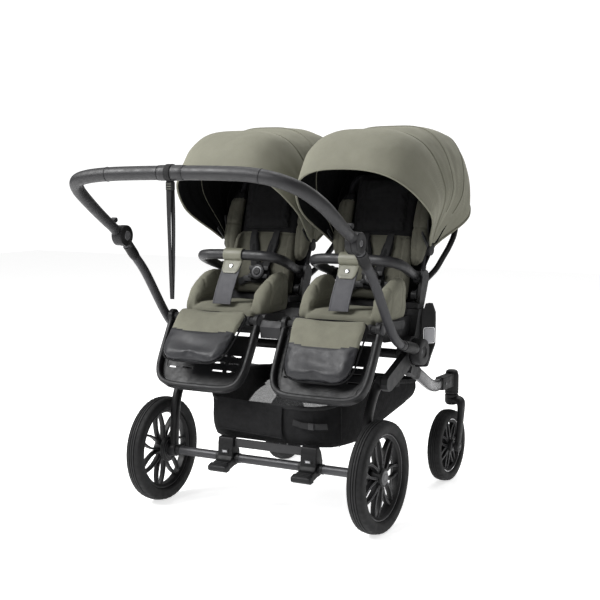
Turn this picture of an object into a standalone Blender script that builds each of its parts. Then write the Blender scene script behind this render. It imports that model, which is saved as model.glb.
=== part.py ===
"""Side-by-side double stroller with two parent-facing seats on one folding frame.

Metres, +Z up, +Y the direction of travel, +X to the right of the person who pushes.
The origin is the bottom centre of the whole object, on the ground. Positions below are
given with the rear axle at Y = 0 and are moved by AXLE_Y when a shape is made.
"""
import math

import bmesh
import bpy
from mathutils import Matrix, Vector

# ---------------------------------------------------------------- driving dimensions
AXLE_Y = -0.1491            # rear axle in the object's frame
REAR_R, REAR_W = 0.1486, 0.0235      # rear wheel: tyre radius, half width
REAR_RIM_R = 0.1135
REAR_X = 0.3433
FRONT_R, FRONT_W = 0.1087, 0.0200    # front wheel
FRONT_RIM_R = 0.0810
FRONT_X, FRONT_Y = 0.283, 0.600
SWIVEL_Y = 0.635
HUB_Y, HUB_Z, HUB_R = 0.230, 0.448, 0.042      # folding hub
STRAP_X = -0.029            # wrist strap on the handlebar
PEDAL_X = {"left": -0.117, "right": 0.145}     # brake pedals
PUSH_X, PUSH_R = 0.355, 0.0125                 # push tubes
KNUCKLE_Y, KNUCKLE_Z, KNUCKLE_R = -0.160, 0.765, 0.022
LEG_PIVOT_Y, LEG_PIVOT_Z = 0.080, 0.381        # rear leg pivot
LEG_X = 0.3035
SEAT_X = 0.186              # centre of each seat
KNEE_Y, KNEE_Z = 0.038, 0.528                  # footrest hinge
TRAY_ANGLE = 31.6           # footrest from the vertical, degrees
PAD_ANGLE = {"left": 46.7, "right": 31.6}      # calf pads; the left one rests raised
RECLINE_Y, RECLINE_Z = 0.285, 0.595
BUMPER_Y, BUMPER_Z = 0.300, 0.645              # bumper bar hinge
BUMPER_R = 0.0145
CANOPY_X = 0.1705                              # centre of each canopy
CANOPY_Y, CANOPY_Z = 0.340, 0.720              # canopy pivot
CANOPY_W, CANOPY_REAR_W = 0.1665, 0.1612       # half widths of the two sections
CANOPY_T = 0.004
BACK_Y, BACK_Z, BACK_ANGLE = 0.272, 0.572, 16.0    # foot of the backrest's front face
GAP = 0.0003
WHEEL_SIDES = 28            # a corner of the tyre points straight down

for old in list(bpy.data.objects):
    bpy.data.objects.remove(old, do_unlink=True)

# ---------------------------------------------------------------- materials
COLOURS = {
    "frame_black": ((0.030, 0.031, 0.033), 0.45, 0.35),
    "frame_grey": ((0.085, 0.087, 0.092), 0.42, 0.5),
    "leg_silver": ((0.36, 0.36, 0.37), 0.35, 0.8),
    "plastic_black": ((0.022, 0.022, 0.024), 0.5, 0.0),
    "plastic_grey": ((0.10, 0.10, 0.105), 0.5, 0.0),
    "button_grey": ((0.42, 0.42, 0.43), 0.4, 0.0),
    "tyre": ((0.020, 0.020, 0.021), 0.8, 0.0),
    "leatherette": ((0.045, 0.044, 0.046), 0.55, 0.0),
    "olive_fabric": ((0.185, 0.187, 0.140), 0.9, 0.0),
    "grey_pad": ((0.060, 0.060, 0.064), 0.7, 0.0),
    "black_fabric": ((0.016, 0.016, 0.018), 0.9, 0.0),
    "webbing": ((0.020, 0.020, 0.022), 0.8, 0.0),
    "strap_grey": ((0.095, 0.096, 0.10), 0.75, 0.0),
}


def material(name):
    colour, rough, metal = COLOURS[name]
    mat = bpy.data.materials.get(name)
    if mat is None:
        mat = bpy.data.materials.new(name)
        mat.use_nodes = True
        shader = mat.node_tree.nodes["Principled BSDF"]
        shader.inputs["Base Color"].default_value = (*colour, 1.0)
        shader.inputs["Roughness"].default_value = rough
        shader.inputs["Metallic"].default_value = metal
    return mat


# ---------------------------------------------------------------- shape helpers
def P(x, y, z):
    return Vector((x, y + AXLE_Y, z))


def from_bmesh(bm, name="shape"):
    bmesh.ops.remove_doubles(bm, verts=bm.verts, dist=1e-7)
    bmesh.ops.recalc_face_normals(bm, faces=bm.faces)
    mesh = bpy.data.meshes.new(name)
    bm.to_mesh(mesh)
    bm.free()
    obj = bpy.data.objects.new(name, mesh)
    bpy.context.scene.collection.objects.link(obj)
    return obj


def prism(outline, x0, x1):
    """Outline in (y, z), extruded along X."""
    bm = bmesh.new()
    ends = [[bm.verts.new(P(x, y, z)) for y, z in outline] for x in (x0, x1)]
    n = len(outline)
    bm.faces.new(ends[0])
    bm.faces.new(ends[1])
    for i in range(n):
        j = (i + 1) % n
        bm.faces.new((ends[0][i], ends[0][j], ends[1][j], ends[1][i]))
    return from_bmesh(bm)


def box(x0, x1, y0, y1, z0, z1, bevel=0.0):
    obj = prism([(y0, z0), (y1, z0), (y1, z1), (y0, z1)], min(x0, x1), max(x0, x1))
    if bevel:
        bm = bmesh.new()
        bm.from_mesh(obj.data)
        bmesh.ops.bevel(bm, geom=bm.edges[:], offset=bevel, segments=1, affect="EDGES")
        bmesh.ops.recalc_face_normals(bm, faces=bm.faces)
        bm.to_mesh(obj.data)
        bm.free()
    return obj


def capsule(y0, z0, r0, y1, z1, r1, steps=5):
    """Outline in (y, z) of two circles and their common tangents."""
    a = math.atan2(z1 - z0, y1 - y0)
    d = math.hypot(z1 - z0, y1 - y0)
    lean = math.asin(max(-1.0, min(1.0, (r0 - r1) / d)))
    half = math.pi / 2 - lean
    points = []
    for i in range(steps + 1):
        t = a + half + (2 * math.pi - 2 * half) * i / steps
        points.append((y0 + r0 * math.cos(t), z0 + r0 * math.sin(t)))
    for i in range(steps + 1):
        t = a - half + 2 * half * i / steps
        points.append((y1 + r1 * math.cos(t), z1 + r1 * math.sin(t)))
    return points


def band(path, thickness):
    """Outline in (y, z) of a strip of even thickness along a path."""
    left, right = [], []
    for i, (y, z) in enumerate(path):
        a = path[max(i - 1, 0)]
        b = path[min(i + 1, len(path) - 1)]
        dy, dz = b[0] - a[0], b[1] - a[1]
        length = math.hypot(dy, dz)
        ny, nz = -dz / length, dy / length
        left.append((y + ny * thickness / 2, z + nz * thickness / 2))
        right.append((y - ny * thickness / 2, z - nz * thickness / 2))
    return left + right[::-1]


def lathe(profile, centre, axis="X", segments=24, start=0.0):
    """Closed profile of (radius, height along the axis) turned about the axis through centre."""
    bm = bmesh.new()
    rows = []
    for r, h in profile:
        if r < 1e-9:
            ring = [(0.0, 0.0, h)]
        else:
            ring = [
                (r * math.cos(start + 2 * math.pi * i / segments), r * math.sin(start + 2 * math.pi * i / segments), h)
                for i in range(segments)
            ]
        made = []
        for a, b, along in ring:
            if axis == "X":
                made.append(bm.verts.new(centre + Vector((along, a, b))))
            else:
                made.append(bm.verts.new(centre + Vector((a, b, along))))
        rows.append(made)
    for k in range(len(rows)):
        one, two = rows[k], rows[(k + 1) % len(rows)]
        if len(one) == 1 and len(two) == 1:
            continue
        for i in range(segments):
            j = (i + 1) % segments
            if len(one) == 1:
                bm.faces.new((one[0], two[j], two[i]))
            elif len(two) == 1:
                bm.faces.new((one[i], one[j], two[0]))
            else:
                bm.faces.new((one[i], one[j], two[j], two[i]))
    return from_bmesh(bm)


def disc(centre, r, h0, h1, axis="X", segments=16, chamfer=0.0):
    c = chamfer
    if c:
        profile = [(0, h0), (r - c, h0), (r, h0 + c), (r, h1 - c), (r - c, h1), (0, h1)]
    else:
        profile = [(0, h0), (r, h0), (r, h1), (0, h1)]
    return lathe(profile, centre, axis, segments)


def smooth_path(points, per=4):
    """Catmull-Rom curve through the points."""
    pts = [Vector(p) for p in points]
    pts = [2 * pts[0] - pts[1]] + pts + [2 * pts[-1] - pts[-2]]
    out = []
    for i in range(1, len(pts) - 2):
        a, b, c, d = pts[i - 1 : i + 3]
        for k in range(per):
            t = k / per
            out.append(
                0.5 * ((2 * b) + (c - a) * t + (2 * a - 5 * b + 4 * c - d) * t * t + (3 * b - a - 3 * c + d) * t**3)
            )
    out.append(pts[-2])
    return out


def sweep(points, wide, high=None, sides=10, across=(1, 0, 0), square=1.0):
    """Tube along world points. wide is its half size along `across`, high the other half size."""
    count = len(points)
    wide = wide if isinstance(wide, (list, tuple)) else [wide] * count
    high = wide if high is None else high
    high = high if isinstance(high, (list, tuple)) else [high] * count
    across = Vector(across).normalized()
    bm = bmesh.new()
    rings = []
    for i, p in enumerate(points):
        tangent = (points[min(i + 1, count - 1)] - points[max(i - 1, 0)]).normalized()
        side = (across - across.dot(tangent) * tangent).normalized()
        other = tangent.cross(side)
        ring = []
        for k in range(sides):
            t = 2 * math.pi * (k + 0.5) / sides
            c, s = math.cos(t), math.sin(t)
            c = math.copysign(abs(c) ** square, c)
            s = math.copysign(abs(s) ** square, s)
            ring.append(bm.verts.new(p + side * c * wide[i] + other * s * high[i]))
        rings.append(ring)
    bm.faces.new(rings[0])
    bm.faces.new(rings[-1])
    for a, b in zip(rings, rings[1:]):
        for k in range(sides):
            j = (k + 1) % sides
            bm.faces.new((a[k], a[j], b[j], b[k]))
    return from_bmesh(bm)


def hull_between(front, back):
    """Closed sheet from two equal grids of points."""
    bm = bmesh.new()
    grids = [[[bm.verts.new(p) for p in row] for row in grid] for grid in (front, back)]
    rows, cols = len(front), len(front[0])
    for grid in grids:
        for i in range(rows - 1):
            for j in range(cols - 1):
                bm.faces.new((grid[i][j], grid[i + 1][j], grid[i + 1][j + 1], grid[i][j + 1]))
    a, b = grids
    edge = [(i, 0) for i in range(rows)] + [(rows - 1, j) for j in range(1, cols)]
    edge += [(i, cols - 1) for i in range(rows - 2, -1, -1)] + [(0, j) for j in range(cols - 2, 0, -1)]
    for (i, j), (k, l) in zip(edge, edge[1:] + edge[:1]):
        bm.faces.new((a[i][j], a[k][l], b[k][l], b[i][j]))
    return from_bmesh(bm)


def combine(target, others, operation="UNION"):
    for other in others:
        modifier = target.modifiers.new("combine", "BOOLEAN")
        modifier.operation = operation
        modifier.solver = "EXACT"
        modifier.object = other
        graph = bpy.context.evaluated_depsgraph_get()
        mesh = bpy.data.meshes.new_from_object(target.evaluated_get(graph))
        target.modifiers.clear()
        target.data = mesh
        bpy.data.objects.remove(other, do_unlink=True)
    return target


def node(obj, name, mat, origin):
    """Names a piece, gives it its material, and puts its origin where it turns or slides."""
    obj.name = name
    obj.data.name = name
    obj.data.transform(Matrix.Translation(-origin))
    obj.location = origin
    obj.data.materials.clear()
    obj.data.materials.append(material(mat))
    for polygon in obj.data.polygons:
        polygon.use_smooth = True
    obj.data.set_sharp_from_angle(angle=math.radians(35))
    return obj


SIDES = (("left", -1.0), ("right", 1.0))


def span(s, a, b):
    """A range of X on side s, low end first."""
    return (a, b) if s > 0 else (-b, -a)


def xdisc(s, y, z, r, a, b, segments=16, chamfer=0.0):
    """Round boss about X on side s, from |x| = a to |x| = b."""
    x0, x1 = span(s, a, b)
    return disc(P(0, y, z), r, x0, x1, "X", segments, chamfer)


# ---------------------------------------------------------------- chassis
for side, s in SIDES:
    hub = xdisc(s, HUB_Y, HUB_Z, HUB_R, 0.302, 0.338, 20, 0.003)
    tower = prism(
        [(0.212, 0.455), (0.240, 0.500), (0.256, 0.545), (0.262, 0.560), (0.300, 0.560), (0.298, 0.520), (0.272, 0.455)],
        *span(s, 0.304, 0.3365),
    )
    arm = prism(capsule(0.190, 0.424, 0.024, LEG_PIVOT_Y, LEG_PIVOT_Z, 0.0215), *span(s, 0.318, 0.337))
    socket = prism([(0.232, 0.425), (0.269, 0.4075), (0.252, 0.3725), (0.215, 0.390)], *span(s, 0.308, 0.335))
    combine(hub, [tower, arm, socket])
    node(hub, f"hub_{side}", "plastic_black", P(s * 0.32, HUB_Y, HUB_Z))

    path = [(0.2612, 0.3896, 0.3215), (0.310, 0.366, 0.3215), (0.361, 0.342, 0.318), (0.405, 0.326, 0.311),
            (0.463, 0.3125, 0.2990), (0.505, 0.3080, 0.290), (0.5330, 0.3065, 0.283)]
    leg = sweep(
        smooth_path([P(s * x, y, z) for y, z, x in path], 2), 0.0100, 0.0175, sides=12, square=0.55
    )
    node(leg, f"front_leg_{side}", "leg_silver", P(s * 0.32, 0.2612, 0.3896))

    housing = lathe(
        [(0, 0.262), (0.019, 0.262), (0.021, 0.265), (0.021, 0.325), (0.017, 0.3325), (0.009, 0.3355), (0, 0.336)],
        P(s * FRONT_X, SWIVEL_Y, 0), "Z", 20,
    )
    bracket = box(s * FRONT_X - 0.0135, s * FRONT_X + 0.0135, 0.5375, 0.628, 0.286, 0.3255, 0.003)
    combine(housing, [bracket])
    node(housing, f"caster_housing_{side}", "plastic_black", P(s * FRONT_X, SWIVEL_Y, 0.262))

bar = sweep([P(-0.3014, 0.215, 0.440), P(0.3014, 0.215, 0.440)], 0.013, sides=14, across=(0, 1, 0))
node(bar, "cross_bar", "frame_black", P(0, 0.215, 0.440))

post = prism([(0.196, 0.425), (0.238, 0.425), (0.285, 0.540), (0.285, 0.560), (0.235, 0.560), (0.196, 0.500)], -0.018, 0.018)
saddle = prism([(0.240, 0.546), (0.300, 0.546), (0.300, 0.560), (0.240, 0.560)], -0.0685, 0.0685)
reach = prism(capsule(0.215, 0.462, 0.022, 0.058, 0.500, 0.016), -0.0175, 0.0175)
block = prism(
    [(0.030, 0.484), (0.060, 0.480), (0.070, 0.500), (0.058, 0.527), (0.036, 0.532), (0.026, 0.515)], -0.032, 0.032
)
rivets = [disc(P(x, 0, 0), 0.0045, 0.529, 0.534, "Z", 10) for x in (-0.022, 0.022)]
for rivet in rivets:
    rivet.data.transform(Matrix.Translation((0, 0.042, 0)))
combine(post, [saddle, reach, block] + rivets)
combine(post, [sweep([P(-0.1, 0.215, 0.440), P(0.1, 0.215, 0.440)], 0.0134, sides=14, across=(0, 1, 0))], "DIFFERENCE")
node(post, "centre_post", "plastic_black", P(0, 0.215, 0.440))

OUTER = [(0.000, 0.314), (0.002, 0.250), (0.022, 0.208), (0.050, 0.205), (0.170, 0.207), (0.223, 0.238),
         (0.340, 0.268), (0.471, 0.297), (0.452, 0.352), (0.360, 0.350), (0.250, 0.374), (0.100, 0.352)]
INNER = [(0.005, 0.420), (0.007, 0.252), (0.025, 0.213), (0.051, 0.210), (0.169, 0.212), (0.221, 0.243),
         (0.339, 0.273), (0.464, 0.301), (0.446, 0.350), (0.440, 0.420)]


def tapered(obj, rear, front):
    """Narrows a prism towards the rear: half width rear at the axle and front at the front end."""
    for v in obj.data.vertices:
        along = (v.co.y - AXLE_Y) / 0.471
        v.co.x = math.copysign(rear + (front - rear) * along, v.co.x)
    return obj


basket = tapered(prism(OUTER, -0.285, 0.285), 0.200, 0.285)
ears = [box(*span(s, 0.2400, 0.3015), 0.222, 0.246, 0.340, 0.424) for _, s in SIDES]
combine(basket, [tapered(prism(INNER, -0.2805, 0.2805), 0.1955, 0.2805)], "DIFFERENCE")
combine(basket, ears)
node(basket, "basket", "black_fabric", P(0, 0.235, 0.205))

# ---------------------------------------------------------------- push frame and handlebar
FACE_X, FACE_Y = 0.3410, 0.268       # inner edge of the lock housing's face, which looks back and outwards


def facing(s, along, out):
    """(x, y) on the lock housing's face."""
    return s * (FACE_X + 0.6 * along + 0.8 * out), FACE_Y + 0.8 * along - 0.6 * out


def facing_box(s, centre, half, z, tall, out0, out1, bevel=0.0):
    bm = bmesh.new()
    ends = []
    for out in (out0, out1):
        row = []
        for u, v in ((-1, -1), (1, -1), (1, 1), (-1, 1)):
            x, y = facing(s, centre + u * half, out)
            row.append(bm.verts.new(P(x, y, z + v * tall)))
        ends.append(row)
    bm.faces.new(ends[0])
    bm.faces.new(ends[1])
    for i in range(4):
        j = (i + 1) % 4
        bm.faces.new((ends[0][i], ends[0][j], ends[1][j], ends[1][i]))
    if bevel:
        bmesh.ops.bevel(bm, geom=bm.edges[:], offset=bevel, segments=1, affect="EDGES")
    return from_bmesh(bm)


def housing_shape(s):
    """Lock housing on the hub disc; it rises beside the seat tower and turns with the push tube."""
    bm = bmesh.new()
    rows = []
    for z, xa, ya, xb, yb, yf in (
        (0.405, FACE_X, 0.226, 0.3665, 0.246, 0.262), (0.432, FACE_X, 0.238, 0.3665, 0.268, 0.284),
        (0.460, FACE_X, FACE_Y, 0.3665, 0.302, 0.311), (0.526, FACE_X, FACE_Y, 0.3665, 0.302, 0.313),
        (0.550, FACE_X, 0.275, 0.3655, 0.303, 0.314), (0.574, 0.3430, 0.290, 0.3560, 0.302, 0.314),
    ):
        rows.append([bm.verts.new(P(s * x, y, z)) for x, y in ((xa, ya), (xb, yb), (xb, yf), (xa, yf))])
    bm.faces.new(rows[0])
    bm.faces.new(rows[-1])
    for a, b in zip(rows, rows[1:]):
        for k in range(4):
            j = (k + 1) % 4
            bm.faces.new((a[k], a[j], b[j], b[k]))
    return from_bmesh(bm)


for side, s in SIDES:
    route = [(0.222, 0.4500), (0.175, 0.4660), (0.110, 0.4820), (0.070, 0.5020), (0.030, 0.5430), (-0.053, 0.6540),
             (-0.1005, 0.7035), (-0.1385, 0.7425)]
    tube = sweep(smooth_path([P(s * PUSH_X, y, z) for y, z in route], 2), PUSH_R, sides=10)
    plate = xdisc(s, HUB_Y, HUB_Z, 0.036, 0.3405, 0.3683, 20, 0.003)
    barrel = xdisc(s, KNUCKLE_Y, KNUCKLE_Z, KNUCKLE_R, 0.3405, 0.3546, 18)
    tab = prism(capsule(-0.137, 0.741, 0.010, KNUCKLE_Y, KNUCKLE_Z, 0.012, 3), *span(s, 0.3435, 0.3543))
    combine(tube, [housing_shape(s), plate, tab, barrel])
    combine(tube, [facing_box(s, 0.0240, 0.0160, 0.4865, 0.0198, -0.0045, 0.010)], "DIFFERENCE")
    node(tube, f"push_tube_{side}", "frame_grey", P(s * PUSH_X, HUB_Y, HUB_Z))
    button = facing_box(s, 0.0240, 0.0156, 0.4865, 0.0194, -0.0018, 0.0022, 0.0012)
    x, y = facing(s, 0.0240, 0.0)
    node(button, f"lock_button_{side}", "button_grey", P(x, y, 0.4865))

HANDLE = [(0.0, -0.390, 0.935), (0.12, -0.389, 0.934), (0.22, -0.386, 0.929), (0.285, -0.377, 0.917),
          (0.325, -0.352, 0.894), (0.345, -0.310, 0.862), (0.353, -0.265, 0.829), (0.3548, -0.225, 0.803),
          (0.355, -0.187, 0.782)]
RADII = [0.0178, 0.0178, 0.0178, 0.0178, 0.0178, 0.0172, 0.0158, 0.0145, 0.0135]
points = [P(-x, y, z) for x, y, z in HANDLE[:0:-1]] + [P(x, y, z) for x, y, z in HANDLE]
radii = RADII[:0:-1] + RADII
fine = smooth_path(points, 2)
thick = []
for i in range(len(radii) - 1):
    thick += [radii[i], (radii[i] + radii[i + 1]) / 2]
thick.append(radii[-1])
handle = sweep(fine, thick, sides=10, across=(0, 0.6, 0.8))
for side, s in SIDES:
    barrel = xdisc(s, KNUCKLE_Y, KNUCKLE_Z, KNUCKLE_R, 0.3551, 0.3690, 18)
    tab = prism(capsule(-0.190, 0.784, 0.010, KNUCKLE_Y, KNUCKLE_Z, 0.012, 3), *span(s, 0.3554, 0.3665))
    combine(handle, [tab, barrel])
    combine(handle, [xdisc(s, KNUCKLE_Y, KNUCKLE_Z, 0.0095, 0.3630, 0.3750, 12)], "DIFFERENCE")
    button = xdisc(s, KNUCKLE_Y, KNUCKLE_Z, 0.0089, 0.3656, 0.3703, 12)
    node(button, f"knuckle_button_{side}", "button_grey", P(s * 0.3656, KNUCKLE_Y, KNUCKLE_Z))
node(handle, "handlebar", "leatherette", P(0, KNUCKLE_Y, KNUCKLE_Z))

ring = []
for k in range(19):
    t = math.radians(-90 + 20 * k)
    ring.append((-0.390 + 0.0208 * math.cos(t), 0.935 + 0.0208 * math.sin(t)))
strap = prism(ring[:-1], STRAP_X - 0.008, STRAP_X + 0.008)
tail = prism([(-0.3928, 0.9175), (-0.3872, 0.9175), (-0.3872, 0.6300), (-0.3928, 0.6300)], STRAP_X - 0.008, STRAP_X + 0.008)
combine(strap, [tail])
combine(strap, [sweep([P(-0.08, -0.390, 0.935), P(0.02, -0.390, 0.935)], 0.0187, sides=20, across=(0, 1, 0))], "DIFFERENCE")
node(strap, "wrist_strap", "webbing", P(STRAP_X, -0.390, 0.935))

# ---------------------------------------------------------------- rear frame and brake
for side, s in SIDES:
    route = [(LEG_PIVOT_Y, LEG_PIVOT_Z), (0.048, 0.352), (0.020, 0.305), (0.008, 0.255), (0.003, 0.200), (0.0, 0.1486)]
    leg = sweep(smooth_path([P(s * LEG_X, y, z) for y, z in route], 2), 0.0112, 0.0140, sides=10, square=0.7)
    eye = xdisc(s, LEG_PIVOT_Y, LEG_PIVOT_Z, 0.0190, 0.3005, 0.3155)
    spacer = xdisc(s, LEG_PIVOT_Y, LEG_PIVOT_Z, 0.0090, 0.3150, 0.3177, 10)
    foot = xdisc(s, 0.0, REAR_R, 0.0185, 0.2920, 0.3156)
    stub = xdisc(s, 0.0, REAR_R, 0.0070, 0.3100, 0.3570, 10)
    combine(leg, [eye, spacer, foot, stub])
    node(leg, f"rear_leg_{side}", "frame_black", P(s * LEG_X, LEG_PIVOT_Y, LEG_PIVOT_Z))

beam = sweep([P(-0.2916, 0, REAR_R), P(0.2916, 0, REAR_R)], 0.0125, sides=16, across=(0, 1, 0))
node(beam, "axle_beam", "frame_black", P(0, 0, REAR_R))

for side, s in SIDES:
    px = PEDAL_X[side]
    pedal = prism(
        [(-0.017, 0.207), (-0.001, 0.209), (0.010, 0.194), (0.0185, 0.166), (0.0185, 0.138), (0.006, 0.1295),
         (-0.012, 0.1275), (-0.036, 0.120), (-0.056, 0.118), (-0.066, 0.124), (-0.066, 0.134), (-0.050, 0.141),
         (-0.030, 0.146), (-0.0215, 0.156), (-0.0205, 0.190)],
        px - 0.0240, px + 0.0240,
    )
    lip = prism(
        [(-0.040, 0.1205), (-0.056, 0.1175), (-0.0665, 0.123), (-0.0665, 0.135), (-0.050, 0.1415), (-0.042, 0.138)],
        px - 0.0290, px + 0.0290,
    )
    combine(pedal, [lip])
    combine(pedal, [sweep([P(px - 0.05, 0, REAR_R), P(px + 0.05, 0, REAR_R)], 0.0130, sides=16, across=(0, 1, 0))], "DIFFERENCE")
    node(pedal, f"brake_pedal_{side}", "plastic_black", P(px, 0, REAR_R))
link = box(PEDAL_X["left"] + 0.0245, PEDAL_X["right"] - 0.0245, -0.0085, -0.0015, 0.1810, 0.2040)
node(link, "brake_link_bar", "plastic_black", P(0.5 * (PEDAL_X["left"] + PEDAL_X["right"]), 0, REAR_R))


# ---------------------------------------------------------------- wheels
def tyre_shape(radius, inner, half, centre):
    tall = (radius - inner) / 2
    middle = (radius + inner) / 2
    profile = []
    for c, w in ((1.0, 0.42), (0.55, 0.88), (-0.1, 1.0), (-1.0, 0.60)):
        profile.append((middle + tall * c, half * w))
    profile += [(r, -w) for r, w in profile[::-1]]
    return lathe(profile, centre, "X", WHEEL_SIDES)


def rim_shape(ring_r, half, hub_r, hub_in, hub_out, bore_r, bore_end, drum_r, centre, s):
    """Spoked rim. Heights are measured outwards along s; hub_in and hub_out bound the hub."""
    ring = [(ring_r, -half), (ring_r, half), (ring_r - 0.0105, half * 0.6), (ring_r - 0.0105, -half * 0.6)]
    shape = lathe([(r, h * s) for r, h in ring], centre, "X", WHEEL_SIDES)
    hub = [(bore_r, hub_in), (drum_r, hub_in), (drum_r, hub_in + 0.012), (hub_r, hub_in + 0.014), (hub_r, hub_out - 0.004),
           (hub_r - 0.004, hub_out)]
    if bore_end < hub_out:
        hub += [(0, hub_out), (0, bore_end), (bore_r, bore_end)]
    else:
        hub += [(bore_r, hub_out)]
    spokes = []
    for k in range(7):
        for lean in (-1, 1):
            bm = bmesh.new()
            a = 2 * math.pi * k / 7
            near = a + lean * 0.30
            far = a + lean * 0.085
            corners = []
            for angle, r, deep in ((near, hub_r - 0.004, 0.0045), (far, ring_r - 0.007, 0.0040)):
                wide = 0.0030
                along = Vector((0, math.cos(angle), math.sin(angle)))
                across = Vector((0, -math.sin(angle), math.cos(angle)))
                for u, v in ((-1, -1), (1, -1), (1, 1), (-1, 1)):
                    corners.append(bm.verts.new(centre + along * r + across * wide * u + Vector((deep * v, 0, 0))))
            bm.faces.new(corners[:4])
            bm.faces.new(corners[4:])
            for i in range(4):
                j = (i + 1) % 4
                bm.faces.new((corners[i], corners[j], corners[4 + j], corners[4 + i]))
            spokes.append(from_bmesh(bm))
    combine(shape, spokes[:1])
    combine(shape, [lathe([(r, h * s) for r, h in hub], centre, "X", 16)] + spokes[1:])
    return shape


for side, s in SIDES:
    centre = P(s * REAR_X, 0, REAR_R)
    node(tyre_shape(REAR_R, REAR_RIM_R + GAP, REAR_W, centre), f"rear_tyre_{side}", "tyre", centre)
    rim = rim_shape(REAR_RIM_R, 0.0135, 0.024, -0.0268, 0.0195, 0.0078, 0.0155, 0.036, centre, s)
    node(rim, f"rear_rim_{side}", "plastic_black", centre)
    centre = P(s * FRONT_X, FRONT_Y, FRONT_R)
    node(tyre_shape(FRONT_R, FRONT_RIM_R + GAP, FRONT_W, centre), f"front_tyre_{side}", "tyre", centre)
    rim = rim_shape(FRONT_RIM_R, 0.0115, 0.018, -0.0205, 0.0235, 0.0066, 0.0300, 0.0185, centre, s)
    node(rim, f"front_rim_{side}", "plastic_black", centre)

for side, s in SIDES:
    crown = lathe(
        [(0, 0.228), (0.015, 0.228), (0.0205, 0.236), (0.0205, 0.2585), (0.019, 0.2612), (0, 0.2612)],
        P(s * FRONT_X, SWIVEL_Y, 0), "Z", 16,
    )
    route = [(0.292, 0.634, 0.244), (0.308, 0.632, 0.243), (0.317, 0.629, 0.230), (0.3185, 0.622, 0.195),
             (0.3185, 0.611, 0.150), (0.3185, 0.600, 0.1087)]
    blade = sweep(smooth_path([P(s * x, y, z) for x, y, z in route], 2), 0.0135, 0.0065, sides=8, across=(0, 1, 0.1), square=0.7)
    eye = xdisc(s, FRONT_Y, FRONT_R, 0.0165, 0.3115, 0.3265)
    pin = xdisc(s, FRONT_Y, FRONT_R, 0.0058, 0.2640, 0.3150, 10)
    combine(crown, [blade, eye, pin])
    node(crown, f"fork_{side}", "plastic_black", P(s * FRONT_X, SWIVEL_Y, 0.2612))


# ---------------------------------------------------------------- seat units
def turned(angle):
    """Directions along and out of a footrest that hangs at this angle from the vertical."""
    a = math.radians(angle)
    return (-math.sin(a), -math.cos(a)), (-math.cos(a), math.sin(a))


def knee(d, n, angle):
    """(y, z) at distance d along a footrest and n out of its face."""
    along, out = turned(angle)
    return (KNEE_Y + along[0] * d + out[0] * n, KNEE_Z + along[1] * d + out[1] * n)


def back(u, t, n):
    """(u, y, z) at height t up the backrest's front face and n in front of it."""
    a = math.radians(BACK_ANGLE)
    return (u, BACK_Y + math.sin(a) * t - math.cos(a) * n, BACK_Z + math.cos(a) * t + math.sin(a) * n)


def back_prism(x, outline, t0, t1):
    """Outline in (u, n) extruded up the backrest."""
    bm = bmesh.new()
    ends = []
    for t in (t0, t1):
        ends.append([bm.verts.new(P(x + u, *back(u, t, n)[1:])) for u, n in outline])
    bm.faces.new(ends[0])
    bm.faces.new(ends[1])
    for i in range(len(outline)):
        j = (i + 1) % len(outline)
        bm.faces.new((ends[0][i], ends[0][j], ends[1][j], ends[1][i]))
    return from_bmesh(bm)


def arch(x, width, phi, rises, skew, offset, count):
    """One bow of a canopy: a rounded arch that stands at the angle phi about the canopy pivot."""
    w, rise = width - offset, rises - offset
    low = 0.018
    power = 2.0 / 3.2
    start = math.asin((low / rise) ** (1 / power))
    row = []
    for k in range(count + 1):
        t = start + (math.pi - 2 * start) * k / count
        u = w * math.copysign(abs(math.cos(t)) ** power, math.cos(t))
        r = rise * math.sin(t) ** power
        a = math.radians(phi + skew * (1 - r / rise) ** 0.5)
        row.append(P(x + u, CANOPY_Y + r * math.cos(a), CANOPY_Z + r * math.sin(a)))
    return row


def canopy(x, width, bows):
    """bows: (crest angle, crest radius, how far the sides lean past the crest)."""
    front = [arch(x, width, a, r, k, 0.0, 14) for a, r, k in bows]
    rear = [arch(x, width, a, r, k, CANOPY_T, 14) for a, r, k in bows]
    return hull_between(front, rear)


FRONT_BOWS = [(139.5, 0.338, 4.0), (133.0, 0.352, 3.0), (125.0, 0.360, 1.0), (117.0, 0.358, 0.0), (110.0, 0.346, -1.5),
              (105.7, 0.334, -2.7)]
REAR_BOWS = [(105.1, 0.3240, -2.7), (95.0, 0.3245, -1.0), (84.0, 0.3245, 0.0), (76.0, 0.3245, 0.0), (68.0, 0.356, 0.0),
             (60.0, 0.379, 0.0), (50.0, 0.378, 0.0), (41.0, 0.352, 0.0), (33.0, 0.308, 0.0)]

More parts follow.
